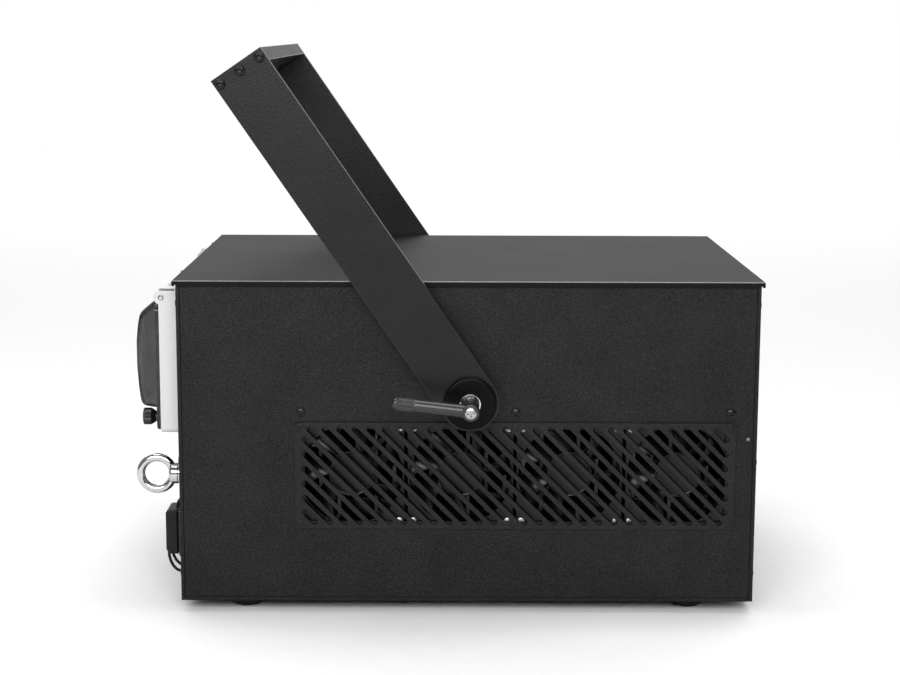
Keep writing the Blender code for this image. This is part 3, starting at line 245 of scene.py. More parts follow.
def collar(inner, outer, low, high, soft, steps=48):
    """A flat ring about Z with soft edges."""
    section = [(inner, low), (outer, low), (outer, high), (inner, high)]
    return turned(eased(section, soft, 3, True), steps, True)


def formed(rings, reach, steps=96):
    """A body about Z from rings of (height, size). reach gives the radius from angle, height and size."""
    loops = []
    for height, size in rings:
        if size < 1e-7:
            loops.append([(0, 0, height)])
            continue
        loop = []
        for step in range(steps):
            angle = 2 * math.pi * step / steps
            radius = reach(angle, height, size)
            loop.append((radius * math.cos(angle), radius * math.sin(angle), height))
        loops.append(loop)
    return loft(loops)


def tube(path, radius, steps=12):
    """A round bar along a line of points, with rounded ends."""
    points = [Vector(point) for point in path]
    loops = []
    side = None
    for index, point in enumerate(points):
        ahead = points[min(index + 1, len(points) - 1)] - points[max(index - 1, 0)]
        ahead.normalize()
        if side is None:
            side = ahead.orthogonal().normalized()
        side = (side - ahead * side.dot(ahead)).normalized()
        up = ahead.cross(side)
        ends = ((0, 1), (0.5, 0.86), (0.86, 0.5)) if index in (0, len(points) - 1) else ((0, 1),)
        if index == 0:
            ends = tuple((-along, size) for along, size in reversed(ends))
        for along, size in ends:
            loop = []
            for step in range(steps):
                angle = 2 * math.pi * step / steps
                spoke = side * math.cos(angle) + up * math.sin(angle)
                loop.append(point + ahead * along * radius + spoke * radius * size)
            loops.append(loop)
    return loft(loops)


def moved(shape, *matrices):
    """The shape carried through the matrices, the first one given first."""
    for matrix in matrices:
        bmesh.ops.transform(shape, matrix=matrix, verts=shape.verts)
        if matrix.determinant() < 0:
            bmesh.ops.reverse_faces(shape, faces=shape.faces[:])
    return shape


def at(x=0, y=0, z=0):
    return Matrix.Translation((x, y, z))


def turn(degrees, axis):
    return Matrix.Rotation(math.radians(degrees), 4, axis)


def gathered(*shapes):
    """Several shapes in one, each still closed."""
    mesh = bpy.data.meshes.new("gathered")
    result = bmesh.new()
    for shape in shapes:
        shape.to_mesh(mesh)
        result.from_mesh(mesh)
        shape.free()
    bpy.data.meshes.remove(mesh)
    return result


def placed(name, data):
    item = bpy.data.objects.new(name, data)
    bpy.context.scene.collection.objects.link(item)
    return item


def as_object(shape, name):
    mesh = bpy.data.meshes.new(name)
    shape.to_mesh(mesh)
    shape.free()
    return placed(name, mesh)


def combined(first, second, operation):
    base, tool = as_object(first, "base"), as_object(second, "tool")
    step = base.modifiers.new("step", "BOOLEAN")
    step.operation = operation
    step.solver = "EXACT"
    step.object = tool
    result = bmesh.new()
    result.from_object(base, bpy.context.evaluated_depsgraph_get())
    for item in (base, tool):
        mesh = item.data
        bpy.data.objects.remove(item)
        bpy.data.meshes.remove(mesh)
    return tidied(result)


def joined(shape, *others):
    for other in others:
        shape = combined(shape, other, "UNION")
    return shape


def cut(shape, *cutters):
    for cutter in cutters:
        shape = combined(shape, cutter, "DIFFERENCE")
    return shape


def piece(name, shape, surface, body, nodes=(), sharp=32, edges=None):
    """One piece on its body, in place of its nodes. Its rounded edges may take a second, lighter material
    that paints a highlight along them.
    """
    if edges is None:
        for face in shape.faces:
            face.material_index = 0
    item = as_object(shape, name)
    item.data.materials.append(surface)
    if edges is not None:
        item.data.materials.append(edges)
    item.data.shade_smooth()
    item.data.set_sharp_from_angle(angle=math.radians(sharp))
    even = item.modifiers.new("even", "WEIGHTED_NORMAL")
    even.keep_sharp = True
    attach(item, body)
    if nodes:
        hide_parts(*nodes)
    return item


def preset(node, **values):
    """The node with its inputs set. An underscore in a name stands for a space."""
    for name, value in values.items():
        node.inputs[name.replace("_", " ")].default_value = value
    return node


def link(source, output, target, socket):
    source.id_data.links.new(source.outputs[output], target.inputs[socket])


def grain(name, colours, rough, fine=(900, 0.12), broad=24, metallic=0.0, **sockets):
    """A procedural finish: fine grain in colour and bump, and slow blotches in colour and roughness."""
    surface = bpy.data.materials.new(name)
    surface.use_nodes = True
    nodes = surface.node_tree.nodes
    shader = preset(nodes["Principled BSDF"], Metallic=metallic, **sockets)
    where = nodes.new("ShaderNodeTexCoord")
    speck = preset(nodes.new("ShaderNodeTexNoise"), Scale=fine[0], Detail=3, Roughness=0.6)
    link(where, "Object", speck, "Vector")
    cloud = preset(nodes.new("ShaderNodeTexNoise"), Scale=broad, Detail=4)
    link(where, "Object", cloud, "Vector")
    both = nodes.new("ShaderNodeMath")
    both.operation = "MULTIPLY_ADD"
    both.inputs[1].default_value = 0.2
    link(cloud, "Fac", both, 0)
    link(speck, "Fac", both, 2)
    ramp = nodes.new("ShaderNodeValToRGB")
    for stop, position, colour in zip(ramp.color_ramp.elements, (0.45, 0.90), colours):
        stop.position = position
        stop.color = (*colour, 1)
    link(both, 0, ramp, "Fac")
    link(ramp, "Color", shader, "Base Color")
    gloss = nodes.new("ShaderNodeMapRange")
    preset(gloss, From_Min=0.3, From_Max=0.7, To_Min=rough[0], To_Max=rough[1])
    link(cloud, "Fac", gloss, "Value")
    link(gloss, "Result", shader, "Roughness")
    bump = preset(nodes.new("ShaderNodeBump"), Strength=fine[1], Distance=0.0004)
    link(speck, "Fac", bump, "Height")
    link(bump, "Normal", shader, "Normal")
    return surface


def grey(value):
    return (value, value, value * 1.02)


def dark(name, low, high, rough, fine, shine, broad=24, **sockets):
    """A grey finish with a set share of shine."""
    return grain(name, (grey(low), grey(high)), rough, fine, broad, Specular_IOR_Level=shine, **sockets)


def metal(name, low, high, rough, fine):
    return grain(name, (low, high), rough, fine, metallic=1.0)


def smoked_plastic():
    """Clear plastic that darkens with the thickness seen through."""
    surface = grain(
        "smoked_window", (grey(0.60), grey(0.66)), (0.02, 0.05), (300, 0.01),
        Transmission_Weight=1.0, IOR=1.49,
    )
    nodes = surface.node_tree.nodes
    smoke = preset(nodes.new("ShaderNodeVolumeAbsorption"), Color=(0.05, 0.05, 0.05, 1), Density=270)
    link(smoke, "Volume", nodes["Material Output"], "Volume")
    return surface


PAINT = dark("case_paint", 0.001, 0.022, (0.36, 0.44), (700, 1.0), 0.17)
LID_PAINT = dark("lid_paint", 0.006, 0.010, (0.50, 0.53), (900, 0.04), 0.05, 12)
YOKE_PAINT = dark("yoke_paint", 0.001, 0.008, (0.34, 0.38), (760, 0.45), 0.26)
BAR_PAINT = dark("bar_paint", 0.001, 0.008, (0.36, 0.40), (760, 0.20), 0.05)
GRILLE_PAINT = dark("grille_paint", 0.002, 0.020, (0.44, 0.54), (600, 0.50), 0.20)
# Rounded edges of the yoke: glossier, and lighter in colour to paint a highlight line along them (painted
# highlight, not wear)
PAINTED_HIGHLIGHT_EDGE = dark("painted_highlight_edge", 0.008, 0.018, (0.26, 0.32), (500, 0.10), 0.40)
# Lid bends: a much lighter paint standing in for the highlight along the folded edge (painted highlight)
LID_PAINTED_HIGHLIGHT = dark("lid_painted_highlight", 0.15, 0.22, (0.34, 0.42), (500, 0.10), 0.30)
PLASTIC = dark("black_plastic", 0.003, 0.007, (0.22, 0.30), (500, 0.05), 0.40)
LEVER_PLASTIC = dark(
    "lever_plastic", 0.006, 0.012, (0.36, 0.42), (700, 0.05), 0.40, Coat_Weight=0.4, Coat_Roughness=0.24,
)
DISC_PLASTIC = dark("disc_plastic", 0.001, 0.003, (0.30, 0.36), (700, 0.08), 0.08)
FAN_PLASTIC = dark("fan_plastic", 0.002, 0.005, (0.22, 0.30), (400, 0.04), 0.22)
WHITE = grain("white_plastic", ((0.53, 0.53, 0.526), (0.58, 0.58, 0.576)), (0.38, 0.48), (600, 0.08))
RUBBER = dark("black_rubber", 0.002, 0.008, (0.46, 0.58), (800, 0.25), 0.22)
FOAM = dark("filter_foam", 0.002, 0.016, (0.80, 0.95), (1400, 1.0), 0.10)
STEEL = metal("polished_steel", (0.50, 0.495, 0.49), (0.66, 0.655, 0.65), (0.08, 0.16), (600, 0.02))
TURNED = metal("turned_steel", (0.36, 0.36, 0.37), (0.50, 0.50, 0.51), (0.26, 0.38), (900, 0.10))
PLATED = metal("plated_steel", (0.34, 0.35, 0.36), (0.48, 0.49, 0.50), (0.30, 0.44), (500, 0.08))
ALUMINIUM = metal("bare_aluminium", (0.40, 0.41, 0.42), (0.55, 0.56, 0.57), (0.36, 0.50), (700, 0.10))
DARK_STEEL = dark("black_screws", 0.003, 0.008, (0.22, 0.32), (700, 0.06), 0.30)
SINK = metal("sink_metal", (0.09, 0.09, 0.095), (0.15, 0.15, 0.155), (0.40, 0.52), (700, 0.10))
BOARD = grain("circuit_board", ((0.010, 0.060, 0.022), (0.020, 0.105, 0.040)), (0.30, 0.45), (300, 0.10))
SMOKED = smoked_plastic()
CLEAR = grain(
    "clear_glass", ((0.86, 0.90, 0.91), (0.92, 0.95, 0.96)), (0.01, 0.03), (200, 0.005),
    Transmission_Weight=1.0, IOR=1.5,
)
MIRROR = metal("mirror_glass", (0.78, 0.80, 0.82), (0.86, 0.88, 0.90), (0.02, 0.05), (300, 0.005))
SCREEN = grain("dark_screen", ((0.004, 0.006, 0.008), (0.008, 0.010, 0.012)), (0.08, 0.14), (300, 0.01))


def cross(angle, half, width):
    """How far a cross-shaped recess reaches along a direction."""
    along, aside = abs(math.cos(angle)), abs(math.sin(angle))
    level = min(half / max(along, 1e-6), width / 2 / max(aside, 1e-6))
    upright = min(half / max(aside, 1e-6), width / 2 / max(along, 1e-6))
    return max(level, upright)


def hexagon(angle, flat):
    return flat / math.cos((angle + math.pi / 6) % (math.pi / 3) - math.pi / 6)


def screw_head(diameter, height, drive, crown, depth, steps=96):
    """A head about Z with a cross or a hexagon sunk into it. crown is the domed share of its height."""
    radius = diameter / 2
    rim = height * (1 - crown)

    def surface(size):
        share = min(size / radius, 1)
        return rim + height * crown * math.sqrt(max(1 - share ** 2, 0))

    def recess(angle):
        if drive == "cross":
            return cross(angle, diameter * 0.30, diameter * 0.11)
        return hexagon(angle, diameter * 0.30 * 0.85)

    loops = [[(0, 0, -height * 0.2)]]

    def ring(reach, level):
        loop = []
        for step in range(steps):
            angle = 2 * math.pi * step / steps
            size = reach(angle)
            loop.append((size * math.cos(angle), size * math.sin(angle), level(size)))
        loops.append(loop)

    soft = min(0.12 * radius, 0.0003)
    ring(lambda angle: radius - soft, lambda size: -height * 0.2)
    ring(lambda angle: radius, lambda size: 0)
    ring(lambda angle: radius, lambda size: rim * 0.8)
    for share in (0.985, 0.95, 0.88, 0.80, 0.72):
        ring(lambda angle: radius * share, surface)
    ring(recess, surface)
    ring(lambda angle: recess(angle) * 0.98, lambda size: surface(size) - 0.0001)
    ring(lambda angle: recess(angle) * 0.72, lambda size: height - depth)
    loops.append([(0, 0, height - depth * 1.1)])
    return loft(loops)


def screws(name, head, places, surface=DARK_STEEL, body="case"):
    """A set of like heads. Each place is the row of matrices that carries one there."""
    heads = [moved(screw_head(*head), *place) for place in places]
    return piece(name, gathered(*heads), surface, body, sharp=40)


def case_plates():
    edge = 0.00035
    floor = prism(rounded(2 * INNER_X, CASE_WIDTH, 0.0006, 2), PLATE, edge)
    piece("bottom_sheet", moved(floor, CASE), PAINT, "case", ["bottom_plate"])
    outline = rounded(CASE_WIDTH, PANEL_TOP, 0.0006, 2, (0, PANEL_TOP / 2))
    bores = [circle(SOCKET_BORE, 40, (side * SOCKET_Y, SOCKET_Z)) for side in (-1, 1)]
    bores.append(circle(EYE_BORE, 24, (EYE_Y, EYE_Z)))
    rear = moved(prism(outline, PLATE, edge, bores), TO_REAR, at(PLATE - HALF_LENGTH), CASE)
    piece("rear_sheet", rear, PAINT, "case", ["rear_panel"])
    opening = rounded(*OUTPUT_OPENING, 0.0010, 2, (0, WINDOW_Z))
    front = moved(prism(outline, PLATE, edge, [opening]), TO_FRONT, at(HALF_LENGTH - PLATE), CASE)
    piece("front_sheet", front, PAINT, "case", ["front_panel"])
    low = PLATE + SEAT
    for word, side, to_side in SIDES:
        outline = rounded(2 * INNER_X, PANEL_TOP - low, 0.0006, 2, (0, (PANEL_TOP + low) / 2))
        holes = [rounded(*SIDE_OPENING, 0.004, 6, (FAN_X, FAN_Z))]
        holes.append(circle(PIVOT_BORE, 40, (PIVOT_X, PIVOT_Z)))
        holes.append(circle(SIDE_HOLE, 20, SIDE_HOLE_PLACE))
        sheet = prism(outline, PLATE, edge, holes)
        moved(sheet, to_side, at(0, side * (HALF_WIDTH - PLATE)), CASE)
        piece(f"side_sheet_{word}", sheet, PAINT, "case", [f"side_panel_{word}"])


def lid():
    """Folded lid: a top sheet bent down into lips, with a seam at each corner. Its upper bends are lighter in
    colour: a painted highlight.
    """
    length, width = CASE_LENGTH + 2 * LID_OVERHANG, CASE_WIDTH + 2 * LID_OVERHANG
    bend, soft = 0.0012, 0.0003
    outer = [(0, soft - LID_LIP), (0, -bend)]
    for step in range(1, 6):
        angle = math.pi / 2 * step / 5
        outer.append((bend * (1 - math.cos(angle)), bend * (math.sin(angle) - 1)))
    inner = [(LID_SHEET, -LID_SHEET), (LID_SHEET, soft - LID_LIP)]
    inner += [(LID_SHEET - soft, -LID_LIP), (soft, -LID_LIP)]
    loops = []
    for inset, level in inner + outer:
        corner = max(0.0016 - inset, 0.0003)
        outline = rounded(length - 2 * inset, width - 2 * inset, corner, 4)
        loops.append([(x, y, level) for x, y in outline])
    shape = loft(loops)
    for side_x in (-1, 1):
        for side_y in (-1, 1):
            gap = prism(rounded(0.0010, 0.0060, 0.0003, 2), LID_LIP, 0.0001)
            moved(gap, at(side_x * HALF_LENGTH, side_y * width / 2, -LID_LIP - 0.0008))
            shape = cut(shape, gap)
    for face in shape.faces:
        # The upper bend faces take the second material: the painted highlight along the lid's edge
        face.material_index = 1 if face.calc_center_median().z > -bend and 0.2 < face.normal.z < 0.98 else 0
    moved(shape, at(0, 0, CASE_HEIGHT), CASE)
    piece("lid", shape, LID_PAINT, "case", ["top_lid"], edges=LID_PAINTED_HIGHLIGHT)


def slots():
    half_x = GRILLE_SIZE[0] / 2 - SLOT_MARGIN_X
    half_z = GRILLE_SIZE[1] / 2 - SLOT_MARGIN_Z
    spots = [Vector(spot) for spot in grille_screw_spots()]
    along = Vector((0.0002, -0.0002))
    found = []
    for number in range(SLOT_COUNT):
        across = (number - (SLOT_COUNT - 1) / 2) * SLOT_PITCH
        top, bottom = min(half_z, across + half_x), max(-half_z, across - half_x)
        if top - bottom < SLOT_WIDTH:
            continue
        start, end = Vector((across - top, top)), Vector((across - bottom, bottom))
        while min((start - spot).length for spot in spots) < SCREW_CLEAR:
            start += along
        while min((end - spot).length for spot in spots) < SCREW_CLEAR:
            end -= along
        found.append(round_ended(start, end, SLOT_WIDTH))
    return found


def grille_screw_spots():
    reach_x, reach_z = GRILLE_SIZE[0] / 2 - SCREW_MARGIN, GRILLE_SIZE[1] / 2 - SCREW_MARGIN
    return [(x, z) for x in (-reach_x, 0, reach_x) for z in (-reach_z, reach_z)]


def grilles():
    openings = slots()
    sinks = [circle(SCREW_SINK, 32, spot) for spot in grille_screw_spots()]
    outline = rounded(*GRILLE_SIZE, 0.004)
    for word, side, to_side in SIDES:
        place = (to_side, at(FAN_X, side * (HALF_WIDTH + SEAT), FAN_Z), CASE)
        node = "intake_grille" if word == "right" else "exhaust_grille"
        sheet = prism(outline, GRILLE_SHEET, 0.0004, openings + sinks)
        piece(f"grille_{word}", moved(sheet, *place), GRILLE_PAINT, "case", [node])
        sunk = GRILLE_SHEET - GRILLE_HEAD[1]
        spots = enumerate(grille_screw_spots())
        places = [(turn(17 + 31 * number, "Z"), at(*spot, sunk), *place) for number, spot in spots]
        screws(f"grille_screws_{word}", GRILLE_HEAD, places)


def fan_blade(root, tip, low, high, sweep):
    """A thin blade, twisted and bowed, that grows from the hub."""
    spans, steps = 7, 9
    loops = []
    for span in range(spans + 1):
        t = span / spans
        radius = root + (tip - root) * t
        pitch = math.radians(52 - 22 * t)
        chord = 0.016 + 0.012 * t
        thick = 0.0016 * (1 - 0.45 * t)
        line = []
        for step in range(steps + 1):
            s = step / steps - 0.5
            bow = 0.0026 * (1 - 4 * s * s)
            half = thick * (0.25 + 0.75 * math.sqrt(max(1 - 4 * s * s, 0)))
            line.append((s * chord, bow, half))
        loop = []
        for sign, run in ((1, line), (-1, reversed(line))):
            for along, off, half in run:
                height = off + sign * half / 2
                side = along * math.cos(pitch) - height * math.sin(pitch) + sweep * t * t
                level = along * math.sin(pitch) + height * math.cos(pitch)
                level = max(min(level, (high - low) / 2), (low - high) / 2)
                angle = side / radius
                loop.append((radius * math.cos(angle), radius * math.sin(angle), (low + high) / 2 + level))
        loops.append(loop)
    return loft(loops)


def fans():
    seat = FAN_DEPTH / 6
    bore = FAN_SIZE - 2 * FAN_WALL
    low, high = seat + RUN, FAN_DEPTH - FAN_WALL
    hole, hub_radius = FAN_HOLES / 2, FAN_HUB / 2
    corners = [(x, y) for x in (-hole, hole) for y in (-hole, hole)]
    body = prism(rounded(FAN_SIZE, FAN_SIZE, 0.004), FAN_DEPTH, 0.0006, [circle(bore, 72)])
    hub = collar(0.0025, hub_radius, 0, seat, 0.0006)
    struts = []
    for number in range(4):
        strut = prism(rounded(0.026, 0.005, 0.0012, 3, (0.0315, 0)), seat, 0.0005)
        struts.append(moved(strut, turn(45 + 90 * number, "Z")))
    body = joined(body, hub, *struts)
    rotor = turned(
        eased(
            [
                (0, RUN), (0.002, RUN), (0.002, low), (hub_radius, low), (hub_radius, high, 0.002),
                (0.0188, high, 0.0003), (0.0180, high - 0.0004, 0.0003), (0, high - 0.0004),
            ],
            0.0004,
        ),
        72,
    )
    blades = []
    for number in range(7):
        blade = fan_blade(hub_radius - 0.0015, bore / 2 - 0.0016, low + 0.0006, high - 0.0006, 0.010)
        blades.append(moved(blade, turn(360 * number / 7, "Z")))
    rotor = joined(rotor, *blades)
    for number in range(4):
        count = number + 1
        place = (TO_RIGHT, at(FAN_X + (number - 1.5) * FAN_PITCH, FAN_DEPTH - INNER_Y, FAN_Z), CASE)
        housing = moved(body.copy(), *place)
        piece(f"fan_body_{count}", housing, FAN_PLASTIC, "case", [f"fan_frame_{count}"])
        wheel = moved(rotor.copy(), turn(13 + 37 * number, "Z"), *place)
        spinner = f"rotor_{count}"
        piece(f"fan_wheel_{count}", wheel, FAN_PLASTIC, spinner, [f"fan_{spinner}"])
        drive = turn(20 + 40 * number, "Z")
        places = [(drive, at(*spot, FAN_DEPTH - 0.0002), *place) for spot in corners]
        screws(f"fan_screws_{count}", FAN_HEAD, places, PLATED)
    body.free()
    rotor.free()


def yoke():
    """Flat arms and the hanging bar, tilted back about the pivot."""
    tilt = (turn(-YOKE_TILT, "Y"), at(PIVOT_X, 0, PIVOT_Z), CASE)
    half = ARM_WIDTH / 2
    foot = [(-half * math.cos(math.pi * n / 40), -half * math.sin(math.pi * n / 40)) for n in range(41)]
    outline = foot + [(half, ARM_LENGTH), (-half, ARM_LENGTH)]
    for word, side, to_side in SIDES:
        arm = prism(outline, ARM_SHEET, 0.0005, [circle(2 * SPIGOT_BORE, 40)])
        moved(arm, to_side, at(0, side * ARM_INNER), *tilt)
        piece(f"arm_{word}", arm, YOKE_PAINT, "yoke", [f"yoke_arm_{word}"], edges=PAINTED_HIGHLIGHT_EDGE)
        places = []
        for number in (-1, 0, 1):
            spot = at(number * BAR_SCREW_PITCH, side * ARM_OUTER, ARM_LENGTH - CROSSBAR_SHEET / 2)
            places.append((to_side, spot, *tilt))
        # Thin dark rubber rings under the arm screws stand in for the shade round each head: painted shadow
        on_shadow_ring = at(0, 0, 0.0007)
        screws(f"arm_screws_{word}", ARM_HEAD, [(on_shadow_ring, *place) for place in places], body="yoke")
        shadow_rings = [moved(collar(0.002, 0.0050, 0.0001, 0.0006, 0.0002), *place) for place in places]
        piece(f"arm_shadow_rings_{word}", gathered(*shadow_rings), RUBBER, "yoke", sharp=40)
    holes = [circle(CLAMP_HOLE, 40)] + [circle(BAR_HOLE, 40, (0, side * BAR_HOLE_Y)) for side in (-1, 1)]
    bar = prism(rounded(ARM_WIDTH, 2 * (ARM_INNER - SEAT), 0.0006, 2), CROSSBAR_SHEET, 0.0005, holes)
    moved(bar, at(0, 0, ARM_LENGTH - CROSSBAR_SHEET), *tilt)
    piece("hanging_bar", bar, BAR_PAINT, "yoke", ["yoke_crossbar"], edges=PAINTED_HIGHLIGHT_EDGE)


def pivots():
    """Bosses, clamp discs, levers and their screws."""
    boss = eased(
        [
            (SPIGOT_BORE, -0.016), (SPIGOT_RADIUS, -0.016), (SPIGOT_RADIUS, SEAT, 0.0002),
            (BOSS_RADIUS, SEAT, 0.0002), (BOSS_RADIUS, 0.0125, 0.0006), (SPIGOT_BORE, 0.0125),
        ],
        0.0004, 3, True,
    )
    disc = eased(
        [
            (SPIGOT_BORE, SEAT), (DISC_RADIUS, SEAT, 0.0003),
            (DISC_RADIUS, DISC_SHEET, 0.0026), (SPIGOT_BORE, DISC_SHEET),
        ],
        0.0004, 6, True,
    )
    top = DISC_SHEET + LEVER_HEIGHT
    face = DISC_SHEET + SEAT
    stud_end = -ARM_SHEET - ARM_GAP - 0.0128
    sunk = top - LEVER_HEIGHT / 3
    hub = eased(
        [
            (0, stud_end), (0.005, stud_end, 0.0008), (0.005, face, 0), (LEVER_HUB, face, 0.0003),
            (LEVER_HUB, face + 0.0035, 0.0004), (0.0067, face + 0.0040, 0.0004),
            (LEVER_HUB, face + 0.0060, 0.0006), (LEVER_HUB, top, 0.0012),
            (LEVER_RECESS, top, 0.0002), (LEVER_RECESS, sunk, 0), (0, sunk),
        ],
        0.0004,
    )
    for word, side, to_side in SIDES:
        place = (to_side, at(PIVOT_X, side * ARM_OUTER, PIVOT_Z), CASE)
        at_case = (to_side, at(PIVOT_X, side * HALF_WIDTH, PIVOT_Z), CASE)
        spacer = moved(turned(boss, 64, True), *at_case)
        piece(f"boss_{word}", spacer, TURNED, "case", [f"pivot_boss_{word}"])
        clamp = moved(turned(disc, 72, True), *place)
        piece(f"disc_{word}", clamp, DISC_PLASTIC, "yoke", [f"clamp_disc_{word}"])
        body = f"lever_{word}"
        bar = moved(lever_bar(), turn(-90, "Y"), turn(-LEVER_RISE, "Z"), at(0, 0, top - LEVER_BAR / 2 - SEAT))
        lever = cut(joined(turned(hub, 64), bar), moved(peg(LEVER_RECESS, 0.02, 40), at(0, 0, sunk)))
        piece(body, moved(lever, *place), LEVER_PLASTIC, body, [f"clamp_lever_{word}"])
        washer = moved(collar(0.0074, 0.0090, face, face + 0.0018, 0.0005, 64), *place)
        piece(f"lever_washer_{word}", washer, STEEL, body)
        head = moved(screw_head(*LEVER_HEAD), turn(8, "Z"), at(0, 0, top + SEAT))
        screw = moved(joined(head, moved(peg(0.0019, 0.0115, 24), at(0, 0, top - 0.0112))), *place)
        piece(f"screw_{word}", screw, TURNED, body, [f"lever_screw_{word}"])


def lever_bar():
    """Round bar with a fluted grip at its tip."""
    start, end = 0.0465, LEVER_LENGTH - 0.0035
    radius = LEVER_BAR / 2

    def reach(angle, height, size):
        depth = 0.0009 * min(1, max(0, (height - start) / 0.0015)) * min(1, max(0, (end - height) / 0.0012))
        return size - depth * (0.5 - 0.5 * math.cos(10 * angle)) ** 0.7

    rings = [(0, 0), (0, radius)]
    rings += [(start * n / 8, radius) for n in range(1, 8)]
    rings += [(start + (end - start) * n / 24, radius) for n in range(25)]
    for step in range(1, 8):
        angle = math.pi / 2 * step / 7
        rings.append((end + 0.0035 * math.sin(angle), radius - 0.0030 * (1 - math.cos(angle))))
    rings.append((LEVER_LENGTH, 0))
    return formed(rings, reach, 120)


def cover_frame():
    """White frame with hinge ears, its edges softened."""
    outline = rounded(COVER_WIDTH, COVER_HEIGHT, COVER_CORNER)
    opening = rounded(COVER_WIDTH - COVER_SIDES, COVER_HEIGHT - COVER_ENDS, COVER_CORNER)
    shape = moved(prism(outline, COVER_DEPTH - SEAT, 0.0010, [opening], 3), at(0, 0, SEAT))
    high = HINGE_Z - COVER_Z
    clear = HINGE_EAR + RUN
    groove = prism(rounded(COVER_WIDTH - 0.024, COVER_HEIGHT, 0.0008, 2), COVER_DEPTH, 0.0004)
    shape = cut(shape, moved(groove, at(0, high - clear + COVER_HEIGHT / 2, HINGE_OUT - clear)))
    for side in (-1, 1):
        end = HINGE_EAR_LENGTH
        profile = [(0, 0), (HINGE_EAR, 0, 0.0008), (HINGE_EAR, end, 0.0004), (0, end)]
        ear = moved(turned(eased(profile, 0.0004), 64), turn(90, "Y"))
        if side == -1:
            moved(ear, at(-COVER_WIDTH / 2))
        else:
            moved(ear, turn(180, "Z"), at(COVER_WIDTH / 2))
        shape = joined(shape, moved(ear, at(0, high, HINGE_OUT)))
    shape = cut(shape, moved(peg(HINGE_BORE, 0.33, 32), turn(90, "Y"), at(-0.165, high, HINGE_OUT)))
    for side in (-1, 1):
        x, y = side * (COVER_WIDTH / 2 - 0.022), 0.0107 - COVER_HEIGHT / 2
        hole = moved(peg(THUMB_HOLE, 0.02, 32), at(x, y, COVER_DEPTH / 2))
        slit = prism(rounded(0.012, 0.002, 0.0006, 3), COVER_DEPTH, 0.0002)
        moved(slit, at(side * COVER_WIDTH / 2, COVER_HEIGHT / 2 - 0.0023, COVER_DEPTH / 4))
        shape = cut(shape, hole, slit)
    moved(shape, TO_REAR, at(-HALF_LENGTH, 0, COVER_Z), CASE)
    piece("cover_surround", shape, WHITE, "case", ["cover_frame"])
    pin = peg(0.0020, COVER_WIDTH, 32, 0.0005)
    moved(pin, turn(90, "X"), at(-HALF_LENGTH - HINGE_OUT, COVER_WIDTH / 2, HINGE_Z), CASE)
    piece("cover_pin", pin, STEEL, "case", ["cover_hinge_pin"])


def level(width, low, high, out, radius):
    centre = (0, (low + high) / 2)
    return [(x, y, out) for x, y in rounded(width, high - low, max(radius, 0.0003), 8, centre)]


def cover_window():
    """Smoked window: flange, domed shell and the barrel on the pin."""
    wide, low, high = 0.294, -0.1185, -0.0070
    back, face = 0.0027, 0.0062
    dome_wide, dome_low, dome_high = 0.274, -0.1010, -0.0035
    wall, soft = 0.0025, 0.0065
    # Each level: how far the width, the bottom and the top draw in, and how far out it lies
    steps = [
        (0.0, 0.0, 0.0, face + SEAT),
        (0.0010, 0.0003, 0.0020, face + 0.0030),
        (soft, soft / 4, 1.9 * soft, face + 0.0154),
        (1.4 * soft, 2 * soft, 3 * soft, face + 0.0172),
        (1.8 * soft, 5 * soft, 5 * soft, face + 0.0188),
    ]
    softened = smooth_steps(steps, 0.35, 4)
    outside = [level(dome_wide - w, dome_low + b, dome_high - t, out, soft) for w, b, t, out in softened]
    inside = []
    for w, b, t, out in softened:
        low_edge, high_edge = dome_low + b + wall, dome_high - t - wall
        inside.append(level(dome_wide - w - 2 * wall, low_edge, high_edge, out - wall, soft - wall))
    rim = [
        level(wide - 0.0010, low + 0.0005, high - 0.0005, face, soft - 0.0005),
        level(wide, low, high, face - 0.0005, soft),
        level(wide, low, high, back + 0.0004, soft),
        level(wide - 0.0008, low + 0.0004, high - 0.0004, back, soft - 0.0004),
        level(dome_wide - 2 * wall, dome_low + wall, high - wall, back, soft - wall),
    ]
    shape = loft(outside[::-1] + rim + inside)
    length = 0.275
    web = prism(rounded(dome_wide - RUN, -high + wall, 0.0006, 2), 0.0034, 0.0003)
    moved(web, at(0, (high - wall) / 2, back + 0.0001))
    core = moved(peg(HINGE_BORE, length + 0.002, 48), at(0, 0, -0.001))
    lay = (turn(90, "Y"), at(-length / 2))
    shape = joined(shape, web, moved(collar(HINGE_BORE, 0.0042, 0, length, 0.0005), *lay))
    shape = cut(shape, moved(core, *lay))
    for side in (-1, 1):
        hole = peg(THUMB_HOLE, 0.014, 32)
        shape = cut(shape, moved(hole, at(side * THUMB_Y, THUMB_Z - HINGE_Z, back - 0.0035)))
    moved(shape, TO_REAR, at(-HALF_LENGTH - HINGE_OUT, 0, HINGE_Z), CASE)
    piece("smoked_cover", shape, SMOKED, "window", ["cover_window"])
    for word, side, _ in SIDES:
        thumb = thumb_screw()
        moved(thumb, TO_REAR, at(-HALF_LENGTH - COVER_DEPTH - SEAT, side * THUMB_Y, THUMB_Z), CASE)
        body = f"thumb_screw_{word}"
        piece(f"thumb_{word}", thumb, PLASTIC, body, [f"cover_thumb_screw_{word}"], 28)


def smooth_steps(steps, share, count):
    """Levels with each inner corner replaced by a short curve."""
    result = [steps[0]]
    for before, here, after in zip(steps, steps[1:], steps[2:]):
        first = [h + (b - h) * share for b, h in zip(before, here)]
        last = [h + (a - h) * share for a, h in zip(after, here)]
        for step in range(count + 1):
            t = step / count
            mix = zip(first, here, last)
            result.append(tuple(f * (1 - t) ** 2 + h * 2 * t * (1 - t) + e * t ** 2 for f, h, e in mix))
    result.append(steps[-1])
    return result


